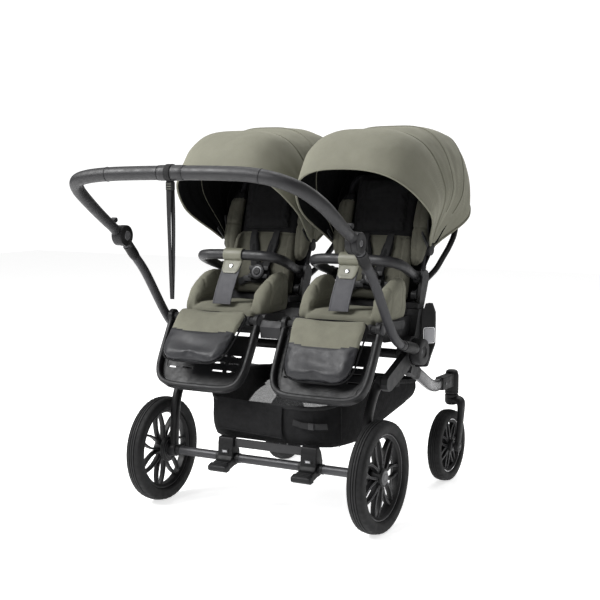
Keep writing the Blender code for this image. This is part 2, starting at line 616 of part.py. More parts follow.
for side, sx in SIDES:
    X = sx * SEAT_X
    # seat base: pan, knee ears and bosses, side rails, back plates, adapters
    base = prism(
        [(0.066, 0.503), (0.074, 0.498), (0.150, 0.500), (0.300, 0.510), (0.306, 0.5235), (0.066, 0.5235)],
        X - 0.112, X + 0.112,
    )
    joined = []
    for s in (-1.0, 1.0):
        def at(a, b):
            lo, hi = span(s, a, b)
            return X + lo, X + hi

        joined.append(prism(capsule(KNEE_Y, KNEE_Z, 0.013, 0.100, 0.512, 0.0115), *at(0.1080, 0.1175)))
        joined.append(disc(P(X, KNEE_Y, KNEE_Z), 0.0105, *span(s, 0.112, 0.1335), segments=12))
        joined.append(prism(capsule(0.084, 0.5305, 0.0125, 0.182, 0.527, 0.0115), *at(0.110, 0.1405)))
        joined.append(prism(capsule(0.272, 0.516, 0.020, 0.279, 0.5560, 0.0165), *at(0.1088, 0.1168)))
        joined.append(box(*at(0.1095, 0.1495), 0.262, 0.300, 0.5604, 0.5770, 0.002))
        joined.append(prism(capsule(0.284, 0.5780, 0.0170, 0.308, BUMPER_Z, 0.0215), *at(0.1412, 0.1500)))
        joined.append(disc(P(X, RECLINE_Y, RECLINE_Z), 0.008, *span(s, 0.1370, 0.1425), segments=10))
    combine(base, joined)
    node(base, f"seat_base_{side}", "plastic_black", P(X, 0.185, 0.5235))

    cushion = prism(
        [(0.064, 0.5245), (0.256, 0.5245), (0.263, 0.532), (0.263, 0.558), (0.255, 0.566), (0.080, 0.568), (0.068, 0.562),
         (0.0635, 0.550)],
        X - 0.1065, X + 0.1065,
    )
    bolsters = []
    for s in (-1.0, 1.0):
        lo, hi = span(s, 0.0940, 0.1265)
        bolsters.append(prism(
            [(0.078, 0.5450), (0.232, 0.5450), (0.238, 0.556), (0.242, 0.600), (0.242, 0.630), (0.234, 0.642), (0.205, 0.6480),
             (0.165, 0.639), (0.130, 0.620), (0.098, 0.597), (0.079, 0.572)],
            X + lo, X + hi,
        ))
    combine(cushion, bolsters)
    node(cushion, f"seat_cushion_{side}", "olive_fabric", P(X, 0.165, 0.545))

    # back frame: side tubes round the backrest, rear loop, cross tube, board and canopy bosses
    def rail_point(u, t, n=-0.036):
        return (u, *back(u, t, n)[1:])

    half = [(0.128, 0.288, 0.5955), (0.128, 0.306, 0.6040), rail_point(0.128, 0.060), rail_point(0.128, 0.140),
            rail_point(0.128, 0.240), rail_point(0.127, 0.330), rail_point(0.119, 0.362, -0.040), rail_point(0.095, 0.3755, -0.0455),
            rail_point(0.0, 0.3765, -0.0455)]
    side_loop = [P(X - u, y, z) for u, y, z in half[:-1]] + [P(X + u, y, z) for u, y, z in half[::-1]]
    frame = sweep(side_loop, [0.0085] * 6 + [0.0075, 0.0065, 0.0065, 0.0065, 0.0075] + [0.0085] * 6, sides=8, across=(0, -0.9613, 0.2756))
    half = [(0.129, 0.306, 0.6045), (0.1315, 0.340, 0.6300), (0.1430, 0.390, 0.6600), (0.1435, 0.440, 0.6900), (0.1435, 0.490, 0.7220),
            (0.1420, 0.530, 0.7560), (0.1320, 0.558, 0.7900), (0.100, 0.572, 0.812), (0.050, 0.577, 0.820), (0.0, 0.578, 0.822)]
    loop = [P(X - u, y, z) for u, y, z in half[:-1]] + [P(X + u, y, z) for u, y, z in half[::-1]]
    joined = [
        sweep(loop, 0.0082, sides=8, across=(0, -0.55, 0.84)),
        sweep([P(X - 0.128, 0.3342, 0.6245), P(X + 0.128, 0.3342, 0.6245)], 0.0068, sides=8, across=(0, 1, 0)),
        back_prism(X, [(-0.100, -0.045), (0.100, -0.045), (0.100, -0.0385), (-0.100, -0.0385)], 0.005, 0.375),
    ]
    for s in (-1.0, 1.0):
        lo, hi = span(s, 0.1196, 0.1364)
        joined.append(disc(P(X, RECLINE_Y, RECLINE_Z), 0.0135, lo, hi, segments=14))
        lo, hi = span(s, 0.1225, 0.1364)
        joined.append(disc(P(X, CANOPY_Y, CANOPY_Z), 0.0125, lo, hi, segments=14))
    combine(frame, joined)
    node(frame, f"back_frame_{side}", "frame_black", P(X, RECLINE_Y, RECLINE_Z))

    pad = back_prism(
        X,
        [(-0.1065, -0.037), (0.1065, -0.037), (0.1065, 0.022), (0.098, 0.027), (0.089, 0.021), (0.080, 0.0), (-0.080, 0.0),
         (-0.089, 0.021), (-0.098, 0.027), (-0.1065, 0.022)],
        0.004, 0.190,
    )
    head = back_prism(X, [(-0.1040, -0.0365), (0.1040, -0.0365), (0.1040, 0.002), (-0.1040, 0.002)], 0.180, 0.386)
    pillow = back_prism(
        X, [(-0.085, -0.010), (0.085, -0.010), (0.085, 0.014), (0.078, 0.020), (-0.078, 0.020), (-0.085, 0.014)], 0.196, 0.360
    )
    combine(pad, [head, pillow])
    node(pad, f"back_cushion_{side}", "olive_fabric", P(X, RECLINE_Y, RECLINE_Z))

    # five-point harness: belly pad, shoulder straps, lap straps
    harness = back_prism(
        X,
        [(-0.034, 0.0025), (0.034, 0.0025), (0.040, 0.006), (0.034, 0.0155), (-0.034, 0.0155), (-0.040, 0.006)], 0.036, 0.096,
    )
    joined = []
    for s in (-1.0, 1.0):
        route = [back(0.017, 0.085, 0.0075), back(0.027, 0.125, 0.0070), back(0.036, 0.160, 0.0070), back(0.038, 0.188, 0.0070)]
        joined.append(sweep([P(X + s * u, y, z) for u, y, z in route], 0.0175, 0.0045, sides=8, across=(1, 0, 0), square=0.5))
        route = [back(0.020, 0.058, 0.0060), back(0.048, 0.046, 0.0042), back(0.071, 0.0365, 0.0040)]
        joined.append(sweep([P(X + s * u, y, z) for u, y, z in route], 0.0110, 0.0022, sides=8, across=(0, 0.2756, 0.9613), square=0.5))
    combine(harness, joined)
    node(harness, f"harness_{side}", "webbing", P(X, RECLINE_Y, RECLINE_Z))

    a = math.radians(BACK_ANGLE)
    out = Vector((0, -math.cos(a), math.sin(a)))
    centre = P(X, *back(0, 0.066, 0.0160)[1:])
    turn = Vector((0, 0, 1)).rotation_difference(out).to_matrix().to_4x4()

    def placed(obj):
        obj.data.transform(Matrix.Translation(centre) @ turn)
        return obj

    shell = placed(lathe([(0, 0), (0.021, 0), (0.0235, 0.003), (0.0235, 0.009), (0.020, 0.0115), (0.0105, 0.0115), (0.0105, 0.005), (0, 0.005)], Vector((0, 0, 0)), "Z", 16))
    node(shell, f"buckle_{side}", "plastic_black", centre)
    press = placed(lathe([(0, 0.0085), (0.0100, 0.0085), (0.0100, 0.0125), (0.0085, 0.0140), (0, 0.0140)], Vector((0, 0, 0)), "Z", 16))
    node(press, f"buckle_button_{side}", "button_grey", centre + out * 0.0085)

    # footrest tray: U-shaped frame, floor and hinge eyes
    def tray_point(u, d, n):
        return P(X + u, *knee(d, n, TRAY_ANGLE))

    half = [(0.142, 0.010, -0.004), (0.142, 0.060, -0.006), (0.1415, 0.110, -0.008), (0.138, 0.155, -0.010),
            (0.124, 0.186, -0.012), (0.095, 0.2005, -0.012), (0.050, 0.204, -0.011), (0.0, 0.2045, -0.010)]
    ring = [tray_point(-u, d, n) for u, d, n in half[:-1]] + [tray_point(u, d, n) for u, d, n in half[::-1]]
    along, normal = turned(TRAY_ANGLE)
    tray = sweep(
        ring, 0.0130, 0.0072, sides=8, across=(0, normal[0], normal[1]), square=0.7
    )
    floor = prism(
        [knee(0.040, -0.0215, TRAY_ANGLE), knee(0.040, -0.0175, TRAY_ANGLE), knee(0.200, -0.0130, TRAY_ANGLE),
         knee(0.200, -0.0180, TRAY_ANGLE)],
        X - 0.118, X + 0.118,
    )
    ribs = []
    for s in (-1.0, 1.0):
        lo, hi = span(s, 0.110, 0.140)
        ribs.append(prism(
            [knee(0.045, -0.0210, TRAY_ANGLE), knee(0.045, -0.0120, TRAY_ANGLE), knee(0.150, -0.0130, TRAY_ANGLE), knee(0.150, -0.0200, TRAY_ANGLE)],
            X + lo, X + hi,
        ))
        lo, hi = span(s, 0.1345, 0.1497)
        ribs.append(disc(P(X, KNEE_Y, KNEE_Z), 0.0190, lo, hi, segments=16))
    combine(tray, [floor] + ribs)
    node(tray, f"tray_{side}", "plastic_black", P(X, KNEE_Y, KNEE_Z))

    angle = PAD_ANGLE[side]
    outline = [(-0.010, 0.008), (-0.012, 0.020), (-0.006, 0.029), (0.020, 0.032), (0.080, 0.030), (0.150, 0.024), (0.166, 0.018),
               (0.170, 0.010), (0.164, 0.004), (0.080, 0.002), (0.020, 0.003)]
    calf = prism([knee(d, n, angle) for d, n in outline], X - 0.104, X + 0.104)
    node(calf, f"calf_pad_{side}", "grey_pad", P(X, KNEE_Y, KNEE_Z))

    # bumper bar with its hinge discs, and its strap
    half = [(0.1300, BUMPER_Y, BUMPER_Z), (0.1302, 0.262, 0.658), (0.1325, 0.225, 0.671), (0.1330, 0.193, 0.683),
            (0.123, 0.164, 0.693), (0.098, 0.149, 0.698), (0.055, 0.1455, 0.700), (0.0, 0.145, 0.700)]
    route = [P(X - u, y, z) for u, y, z in half[:-1]] + [P(X + u, y, z) for u, y, z in half[::-1]]
    high = [0.0100, 0.0105, 0.0130] + [BUMPER_R] * 9 + [0.0130, 0.0105, 0.0100]
    bumper = sweep(route, BUMPER_R, high, sides=10, across=(0, 0.35, 0.93))
    joined = []
    for s in (-1.0, 1.0):
        lo, hi = span(s, 0.1205, 0.1408)
        joined.append(disc(P(X, BUMPER_Y, BUMPER_Z), 0.0180, lo, hi, segments=16))
    combine(bumper, joined)
    node(bumper, f"bumper_bar_{side}", "leatherette", P(X, BUMPER_Y, BUMPER_Z))

    wrap = []
    for k in range(9):
        t = math.radians(20 + 28 * k)
        wrap.append((0.145 + 0.0172 * math.cos(t), 0.700 + 0.0172 * math.sin(t)))
    wrap += [(0.125, 0.665), (0.104, 0.630), (0.085, 0.597), (0.074, 0.5725)]
    strap = prism(band(wrap, 0.0036), X - 0.031, X + 0.031)
    node(strap, f"bumper_strap_{side}", "strap_grey", P(X, BUMPER_Y, BUMPER_Z))

    cx = sx * CANOPY_X
    node(canopy(cx, CANOPY_W, FRONT_BOWS), f"canopy_front_{side}", "olive_fabric", P(cx, CANOPY_Y, CANOPY_Z))
    rear = canopy(cx, CANOPY_REAR_W, REAR_BOWS)
    lugs = []
    for s in (-1.0, 1.0):
        # the joint at each side reaches from the boss on the back frame out to the fabric
        inner = X + s * 0.1370
        outer = cx + s * (CANOPY_W + 0.0005)
        lugs.append(disc(P(0, CANOPY_Y, CANOPY_Z), 0.0165, min(inner, outer), max(inner, outer), segments=14))
        lugs.append(prism(
            [(CANOPY_Y + a, CANOPY_Z + b) for a, b in ((-0.004, 0.010), (0.010, 0.004), (0.036, 0.034), (0.010, 0.050))],
            *sorted((cx + s * (CANOPY_REAR_W - 0.0080), cx + s * (CANOPY_REAR_W - 0.0015))),
        ))
    combine(rear, lugs)
    node(rear, f"canopy_rear_{side}", "olive_fabric", P(cx, CANOPY_Y, CANOPY_Z))
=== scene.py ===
"""Looks of the double stroller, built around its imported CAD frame.

Metres, +Z up, +Y the direction of travel. Positions are given with the rear axle at Y = 0,
as in the CAD source, and P() moves them by AXLE_Y into the row frame.
"""
import math

import bmesh
import bpy
import numpy as np
from mathutils import Matrix, Vector, noise


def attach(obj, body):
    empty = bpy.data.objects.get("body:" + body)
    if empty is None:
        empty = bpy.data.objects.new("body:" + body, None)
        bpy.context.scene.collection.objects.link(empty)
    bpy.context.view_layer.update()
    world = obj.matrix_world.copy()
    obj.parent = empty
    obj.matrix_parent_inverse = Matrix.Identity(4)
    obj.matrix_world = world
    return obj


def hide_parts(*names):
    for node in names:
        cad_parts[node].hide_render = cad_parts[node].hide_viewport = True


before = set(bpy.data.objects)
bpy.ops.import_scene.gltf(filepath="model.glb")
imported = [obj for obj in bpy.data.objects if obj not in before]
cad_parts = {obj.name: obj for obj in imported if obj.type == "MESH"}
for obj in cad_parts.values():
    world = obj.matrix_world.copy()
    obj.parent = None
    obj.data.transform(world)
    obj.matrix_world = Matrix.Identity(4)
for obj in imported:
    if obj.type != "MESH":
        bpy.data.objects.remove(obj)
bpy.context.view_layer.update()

AXLE_Y = -0.1491
SIDES = (("left", -1.0), ("right", 1.0))
SEAT_X = 0.186
REAR_R, REAR_X = 0.1486, 0.3433
FRONT_R, FRONT_X, FRONT_Y, SWIVEL_Y = 0.1087, 0.283, 0.600, 0.635
HUB_Y, HUB_Z = 0.230, 0.448
KNUCKLE_Y, KNUCKLE_Z = -0.160, 0.765
KNEE_Y, KNEE_Z = 0.038, 0.528
TRAY_ANGLE = 31.6
PAD_ANGLE = {"left": 46.7, "right": 31.6}
RECLINE_Y, RECLINE_Z = 0.285, 0.595
BUMPER_Y, BUMPER_Z = 0.300, 0.645
BACK_Y, BACK_Z, BACK_ANGLE = 0.272, 0.572, 16.0
STRAP_X = -0.013
PEDAL_X = {"left": -0.117, "right": 0.145}


def P(x, y, z):
    return Vector((x, y + AXLE_Y, z))


# ================================================================ materials
def _node(tree, kind, **settings):
    n = tree.nodes.new(kind)
    for key, value in settings.items():
        if key in n.inputs:
            n.inputs[key].default_value = value
        else:
            setattr(n, key, value)
    return n


def _math(tree, op, a, b=None):
    n = tree.nodes.new("ShaderNodeMath")
    n.operation = op
    for i, v in enumerate((a, b)):
        if v is None:
            continue
        if isinstance(v, (int, float)):
            n.inputs[i].default_value = v
        else:
            tree.links.new(v, n.inputs[i])
    return n.outputs[0]


def surface(name, colour, rough, metal=0.0, spec=0.5, sheen=0.0, sheen_tint=None, coat=0.0, coat_rough=0.2,
            tint=None, vary=0.12, vary_scale=18.0, rough_vary=0.08, rough_scale=60.0, grain=None, weave=None,
            ribs=None, leather=None, folds=None, dust=None):
    """Principled surface whose colour, roughness and relief all come from noise and waves in object space.

    grain (scale, depth): fine moulded or painted grain. weave (threads per metre, depth): cloth.
    ribs (axis, per metre, depth): webbing. leather (scale, depth): pebbled grain. folds (scale, depth): soft
    creases. dust: a lighter tone that gathers on edges, with its share.
    """
    mat = bpy.data.materials.new(name)
    mat.use_nodes = True
    t = mat.node_tree
    shader = t.nodes["Principled BSDF"]
    shader.inputs["Metallic"].default_value = metal
    shader.inputs["Specular IOR Level"].default_value = spec
    if sheen:
        shader.inputs["Sheen Weight"].default_value = sheen
        shader.inputs["Sheen Roughness"].default_value = 0.45
        shader.inputs["Sheen Tint"].default_value = (*(sheen_tint or colour), 1.0)
    if coat:
        shader.inputs["Coat Weight"].default_value = coat
        shader.inputs["Coat Roughness"].default_value = coat_rough
    place = _node(t, "ShaderNodeTexCoord").outputs["Object"]

    # colour: two tones by soft noise
    soft = _node(t, "ShaderNodeTexNoise", Scale=vary_scale, Detail=5.0, Roughness=0.62)
    t.links.new(place, soft.inputs["Vector"])
    ramp = _node(t, "ShaderNodeValToRGB")
    other = tint or tuple(c * (1 + 2 * vary) for c in colour)
    ramp.color_ramp.elements[0].position = 0.32
    ramp.color_ramp.elements[0].color = (*[c * (1 - vary) for c in colour], 1)
    ramp.color_ramp.elements[1].position = 0.72
    ramp.color_ramp.elements[1].color = (*[0.5 * c + 0.5 * o for c, o in zip(colour, other)], 1)
    t.links.new(soft.outputs["Fac"], ramp.inputs["Fac"])
    tone = ramp.outputs["Color"]
    heights = []

    if weave:
        per, deep = weave
        waves = []
        for direction in ("X", "Y", "Z"):
            w = _node(t, "ShaderNodeTexWave", wave_type="BANDS", bands_direction=direction, Scale=per * 2 * math.pi / 20,
                      Distortion=0.6, Detail=1.0)
            t.links.new(place, w.inputs["Vector"])
            waves.append(w.outputs["Fac"])
        cross = _math(t, "MULTIPLY", waves[0], _math(t, "MULTIPLY", _math(t, "ADD", waves[1], waves[2]), 0.5))
        heights.append((cross, deep))
        mix = _node(t, "ShaderNodeMix", data_type="RGBA", blend_type="MULTIPLY")
        low = _math(t, "MULTIPLY", cross, 0.20)
        shade = _math(t, "ADD", low, 0.93)
        mix.inputs[0].default_value = 1.0
        comb = _node(t, "ShaderNodeCombineColor")
        for i in range(3):
            t.links.new(shade, comb.inputs[i])
        t.links.new(tone, mix.inputs[6])
        t.links.new(comb.outputs[0], mix.inputs[7])
        tone = mix.outputs[2]
    if ribs:
        axis, per, deep = ribs
        w = _node(t, "ShaderNodeTexWave", wave_type="BANDS", bands_direction=axis, Scale=per * 2 * math.pi / 20,
                  Distortion=0.3, Detail=0.0)
        t.links.new(place, w.inputs["Vector"])
        heights.append((w.outputs["Fac"], deep))
    if leather:
        size, deep = leather
        cell = _node(t, "ShaderNodeTexVoronoi", Scale=size, feature="SMOOTH_F1", Smoothness=0.35, Randomness=1.0)
        t.links.new(place, cell.inputs["Vector"])
        heights.append((cell.outputs["Distance"], -deep))
    if grain:
        size, deep = grain
        fine = _node(t, "ShaderNodeTexNoise", Scale=size, Detail=3.0, Roughness=0.55)
        t.links.new(place, fine.inputs["Vector"])
        heights.append((fine.outputs["Fac"], deep))
    if folds:
        size, deep = folds
        big = _node(t, "ShaderNodeTexNoise", Scale=size, Detail=2.0, Roughness=0.45, Distortion=1.6)
        t.links.new(place, big.inputs["Vector"])
        heights.append((big.outputs["Fac"], deep))
    if dust:
        light, share = dust
        edge = _node(t, "ShaderNodeNewGeometry").outputs["Pointiness"]
        rise = _node(t, "ShaderNodeMapRange")
        rise.inputs[1].default_value, rise.inputs[2].default_value = 0.52, 0.60
        rise.inputs[3].default_value, rise.inputs[4].default_value = 0.0, share
        t.links.new(edge, rise.inputs[0])
        mix = _node(t, "ShaderNodeMix", data_type="RGBA")
        t.links.new(rise.outputs[0], mix.inputs[0])
        t.links.new(tone, mix.inputs[6])
        mix.inputs[7].default_value = (*light, 1)
        tone = mix.outputs[2]
    t.links.new(tone, shader.inputs["Base Color"])

    spots = _node(t, "ShaderNodeTexNoise", Scale=rough_scale, Detail=3.0, Roughness=0.6)
    t.links.new(place, spots.inputs["Vector"])
    rise = _node(t, "ShaderNodeMapRange")
    rise.inputs[1].default_value, rise.inputs[2].default_value = 0.3, 0.7
    rise.inputs[3].default_value, rise.inputs[4].default_value = rough - rough_vary, min(1.0, rough + rough_vary)
    t.links.new(spots.outputs["Fac"], rise.inputs[0])
    t.links.new(rise.outputs[0], shader.inputs["Roughness"])

    normal = None
    for height, deep in heights:
        bump = _node(t, "ShaderNodeBump", Strength=1.0, Distance=abs(deep), invert=deep < 0)
        t.links.new(height, bump.inputs["Height"])
        if normal is not None:
            t.links.new(normal, bump.inputs["Normal"])
        normal = bump.outputs["Normal"]
    if normal is not None:
        t.links.new(normal, shader.inputs["Normal"])
    return mat


OLIVE = (0.158, 0.156, 0.121)
MAT = {
    "frame_black": surface("frame_black", (0.0038, 0.0038, 0.0042), 0.46, metal=0.0, spec=0.22, vary=0.2, grain=(1400, 0.00004),
                           dust=((0.05, 0.05, 0.052), 0.5)),
    "frame_grey": surface("frame_grey", (0.026, 0.026, 0.029), 0.42, metal=0.30, spec=0.40, vary=0.10, grain=(1600, 0.00004),
                          dust=((0.12, 0.12, 0.125), 0.5)),
    "leg_silver": surface("leg_silver", (0.080, 0.080, 0.084), 0.26, metal=1.0, vary=0.06, ribs=("Z", 2600, 0.00002),
                          rough_vary=0.06),
    "plastic_black": surface("plastic_black", (0.0040, 0.0040, 0.0044), 0.50, spec=0.22, vary=0.15, grain=(900, 0.00010),
                             dust=((0.035, 0.035, 0.037), 0.6)),
    "plastic_soft": surface("plastic_soft", (0.0060, 0.0060, 0.0067), 0.48, spec=0.26, vary=0.12, grain=(1100, 0.00007),
                            dust=((0.06, 0.06, 0.062), 0.5)),
    "plastic_grey": surface("plastic_grey", (0.055, 0.055, 0.059), 0.40, spec=0.45, vary=0.1, grain=(1100, 0.00006),
                            dust=((0.16, 0.16, 0.165), 0.5)),
    "button_grey": surface("button_grey", (0.30, 0.30, 0.315), 0.36, spec=0.5, vary=0.05, grain=(1300, 0.00003),
                           dust=((0.55, 0.55, 0.56), 0.4)),
    "chrome": surface("chrome", (0.62, 0.62, 0.63), 0.16, metal=1.0, vary=0.03, rough_vary=0.05),
    "tyre": surface("tyre", (0.0062, 0.0062, 0.0066), 0.66, spec=0.24, vary=0.2, vary_scale=40, grain=(700, 0.00018),
                    dust=((0.03, 0.03, 0.031), 0.5)),
    "leatherette": surface("leatherette", (0.0130, 0.0128, 0.0142), 0.48, spec=0.42, vary=0.10, leather=(620, 0.00022),
                           rough_vary=0.1),
    "pad_leather": surface("pad_leather", (0.0135, 0.0137, 0.0160), 0.48, spec=0.36, vary=0.10, vary_scale=9,
                           leather=(520, 0.00022), rough_vary=0.08, coat=0.03, coat_rough=0.45),
    "olive_fabric": surface("olive_fabric", OLIVE, 0.86, spec=0.25, sheen=0.28, sheen_tint=(0.55, 0.54, 0.44), vary=0.10,
                            vary_scale=26, weave=(720, 0.00011), grain=(420, 0.00016)),
    "olive_canopy": surface("olive_canopy", OLIVE, 0.80, spec=0.28, sheen=0.25, sheen_tint=(0.55, 0.54, 0.44), vary=0.07,
                            vary_scale=11, weave=(760, 0.00009), grain=(300, 0.00014), folds=(7.0, 0.0040)),
    # olive fabric darkened to about half as painted shade, for the backrest and its wings, which sit in the canopy's
    # shadow
    "olive_painted_shade": surface("olive_painted_shade", (0.084, 0.082, 0.064), 0.88, spec=0.2, sheen=0.12, sheen_tint=(0.4, 0.4, 0.32), vary=0.12,
                           vary_scale=26, weave=(720, 0.00020), grain=(420, 0.00016), folds=(16.0, 0.0050)),
    "olive_leather": surface("olive_leather", (0.135, 0.134, 0.100), 0.48, spec=0.45, vary=0.10, leather=(500, 0.00022)),
    "black_fabric": surface("black_fabric", (0.0062, 0.0062, 0.0068), 0.88, spec=0.22, sheen=0.10, sheen_tint=(0.2, 0.2, 0.2),
                            vary=0.2, weave=(700, 0.00020), grain=(350, 0.00020), folds=(11.0, 0.0030)),
    "lining": surface("lining", (0.0042, 0.0042, 0.0047), 0.92, spec=0.15, vary=0.2, weave=(700, 0.00015)),
    "webbing": surface("webbing", (0.0085, 0.0085, 0.0092), 0.74, spec=0.3, vary=0.15, weave=(560, 0.00040)),
    "strap_grey": surface("strap_grey", (0.045, 0.045, 0.051), 0.58, spec=0.4, vary=0.06, weave=(1400, 0.00012),
                          grain=(500, 0.00008)),
    "thread": surface("thread", (0.20, 0.20, 0.16), 0.8, vary=0.1, ribs=("X", 900, 0.0001)),
    "mesh_grey": surface("mesh_grey", (0.16, 0.163, 0.166), 0.7, spec=0.3, vary=0.15, weave=(420, 0.0006)),
}
# the mesh lets half of the light through
MAT["mesh_grey"].node_tree.nodes["Principled BSDF"].inputs["Alpha"].default_value = 0.64


# ================================================================ geometry helpers
def add_faces(bm, rings, closed_ring=True, caps=True, mat=0, loop=False):
    """Quads between rings of vertices; optional end caps or a closed loop of rings."""
    n = len(rings[0])
    pairs = list(zip(rings, rings[1:]))
    if loop:
        pairs.append((rings[-1], rings[0]))
    for a, b in pairs:
        for k in range(n if closed_ring else n - 1):
            j = (k + 1) % n
            f = bm.faces.new((a[k], a[j], b[j], b[k]))
            f.material_index = mat
    if caps and not loop:
        for ring in (rings[0], rings[-1]):
            f = bm.faces.new(ring)
            f.material_index = mat


def add_sweep(bm, points, wide, high=None, sides=24, across=(1, 0, 0), square=1.0, mat=0, dome=0.0, caps=True):
    """Tube along points, optionally with rounded ends (dome = share of the radius)."""
    points = [Vector(p) for p in points]
    count = len(points)
    wide = list(wide) if isinstance(wide, (list, tuple)) else [wide] * count
    high = wide if high is None else (list(high) if isinstance(high, (list, tuple)) else [high] * count)
    if dome:
        ends = []
        for end in (0, -1):
            inner = points[1] if end == 0 else points[-2]
            tip = points[end]
            d = (tip - inner).normalized()
            r = min(wide[end], high[end]) * dome
            extra = []
            for k in range(1, 4):
                a = math.pi / 2 * k / 3.3
                extra.append((tip + d * r * math.sin(a), wide[end] * math.cos(a), high[end] * math.cos(a)))
            ends.append(extra)
        points = [e[0] for e in ends[0][::-1]] + points + [e[0] for e in ends[1]]
        wide = [e[1] for e in ends[0][::-1]] + wide + [e[1] for e in ends[1]]
        high = [e[2] for e in ends[0][::-1]] + high + [e[2] for e in ends[1]]
        count = len(points)
    across = Vector(across).normalized()
    rings = []
    for i, p in enumerate(points):
        tangent = (points[min(i + 1, count - 1)] - points[max(i - 1, 0)]).normalized()
        side = (across - across.dot(tangent) * tangent).normalized()
        other = tangent.cross(side)
        ring = []
        for k in range(sides):
            t = 2 * math.pi * (k + 0.5) / sides
            c, s = math.cos(t), math.sin(t)
            c = math.copysign(abs(c) ** square, c)
            s = math.copysign(abs(s) ** square, s)
            ring.append(bm.verts.new(p + side * c * wide[i] + other * s * high[i]))
        rings.append(ring)
    add_faces(bm, rings, caps=caps, mat=mat)
    return rings


def add_lathe(bm, profile, centre, axis=(1, 0, 0), segments=64, mat=0, closed=True, mats=None):
    """(radius, height) profile turned about the axis; radius 0 makes a pole. mats gives a material per step."""
    axis = Vector(axis).normalized()
    ref = Vector((0, 0, 1)) if abs(axis.z) < 0.9 else Vector((0, 1, 0))
    u = (ref - ref.dot(axis) * axis).normalized()
    v = axis.cross(u)
    centre = Vector(centre)
    rows = []
    for r, h in profile:
        if r < 1e-9:
            rows.append([bm.verts.new(centre + axis * h)])
        else:
            rows.append([
                bm.verts.new(centre + axis * h + u * r * math.cos(2 * math.pi * k / segments) + v * r * math.sin(2 * math.pi * k / segments))
                for k in range(segments)
            ])
    last = len(rows) if closed else len(rows) - 1
    for i in range(last):
        a, b = rows[i], rows[(i + 1) % len(rows)]
        m = mats[i] if mats else mat
        if len(a) == 1 and len(b) == 1:
            continue
        for k in range(segments):
            j = (k + 1) % segments
            if len(a) == 1:
                f = bm.faces.new((a[0], b[j], b[k]))
            elif len(b) == 1:
                f = bm.faces.new((a[k], a[j], b[0]))
            else:
                f = bm.faces.new((a[k], a[j], b[j], b[k]))
            f.material_index = m


def add_prism(bm, outline, x0, x1, mat=0, bevel=0.0, segments=2):
    """(y, z) outline extruded along X, with rounded edges."""
    made = bmesh.new()
    ends = [[made.verts.new(P(x, y, z)) for y, z in outline] for x in (x0, x1)]
    made.faces.new(ends[0])
    made.faces.new(ends[1])
    n = len(outline)
    for i in range(n):
        j = (i + 1) % n
        made.faces.new((ends[0][i], ends[0][j], ends[1][j], ends[1][i]))
    merge(bm, made, mat, bevel, segments)


def add_box(bm, lo, hi, mat=0, bevel=0.0, segments=2, turn=None, about=None):
    """Axis-aligned box between two row-frame corners, then turned about a point."""
    made = bmesh.new()
    c = [made.verts.new(Vector((x, y, z))) for x in (lo[0], hi[0]) for y in (lo[1], hi[1]) for z in (lo[2], hi[2])]
    for f in ((0, 1, 3, 2), (4, 6, 7, 5), (0, 4, 5, 1), (2, 3, 7, 6), (0, 2, 6, 4), (1, 5, 7, 3)):
        made.faces.new([c[i] for i in f])
    if turn is not None:
        about = Vector(about)
        for v in made.verts:
            v.co = about + turn @ (v.co - about)
    merge(bm, made, mat, bevel, segments)


def merge(bm, made, mat=0, bevel=0.0, segments=2):
    bmesh.ops.recalc_face_normals(made, faces=made.faces)
    if bevel:
        bmesh.ops.bevel(made, geom=made.edges[:] + made.verts[:], offset=bevel, segments=segments, profile=0.6,
                        affect="EDGES", clamp_overlap=True)
    found = {}
    for v in made.verts:
        found[v] = bm.verts.new(v.co)
    for f in made.faces:
        g = bm.faces.new([found[v] for v in f.verts])
        g.material_index = mat
    made.free()


def capsule(y0, z0, r0, y1, z1, r1, steps=10):
    a = math.atan2(z1 - z0, y1 - y0)
    d = math.hypot(z1 - z0, y1 - y0)
    lean = math.asin(max(-1.0, min(1.0, (r0 - r1) / d)))
    half = math.pi / 2 - lean
    points = []
    for i in range(steps + 1):
        t = a + half + (2 * math.pi - 2 * half) * i / steps
        points.append((y0 + r0 * math.cos(t), z0 + r0 * math.sin(t)))
    for i in range(steps + 1):
        t = a - half + 2 * half * i / steps
        points.append((y1 + r1 * math.cos(t), z1 + r1 * math.sin(t)))
    return points


def smooth_path(points, per=8):
    pts = [Vector(p) for p in points]
    pts = [2 * pts[0] - pts[1]] + pts + [2 * pts[-1] - pts[-2]]
    out = []
    for i in range(1, len(pts) - 2):
        a, b, c, d = pts[i - 1:i + 3]
        for k in range(per):
            t = k / per
            out.append(0.5 * ((2 * b) + (c - a) * t + (2 * a - 5 * b + 4 * c - d) * t * t + (3 * b - a - 3 * c + d) * t ** 3))
    out.append(pts[-2])
    return out


def spread(values, per):
    """Values at the points of smooth_path(…, per)."""
    out = []
    for a, b in zip(values, values[1:]):
        out += [a + (b - a) * k / per for k in range(per)]
    return out + [values[-1]]


def piece(bm, name, mats, body=None, stands_for=(), sharp=38, subsurf=0, weld=1e-6):
    """Finishes a mesh as one piece on a body."""
    if weld:
        bmesh.ops.remove_doubles(bm, verts=bm.verts, dist=weld)
    bmesh.ops.recalc_face_normals(bm, faces=bm.faces)
    mesh = bpy.data.meshes.new(name)
    bm.to_mesh(mesh)
    bm.free()
    obj = bpy.data.objects.new(name, mesh)
    bpy.context.scene.collection.objects.link(obj)
    for m in ([mats] if isinstance(mats, str) else mats):
        mesh.materials.append(MAT[m])
    for p in mesh.polygons:
        p.use_smooth = True
    if sharp:
        mesh.set_sharp_from_angle(angle=math.radians(sharp))
    if subsurf:
        m = obj.modifiers.new("smooth", "SUBSURF")
        m.levels = m.render_levels = subsurf
    if body:
        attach(obj, body)
    if stands_for:
        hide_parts(*([stands_for] if isinstance(stands_for, str) else stands_for))
    return obj


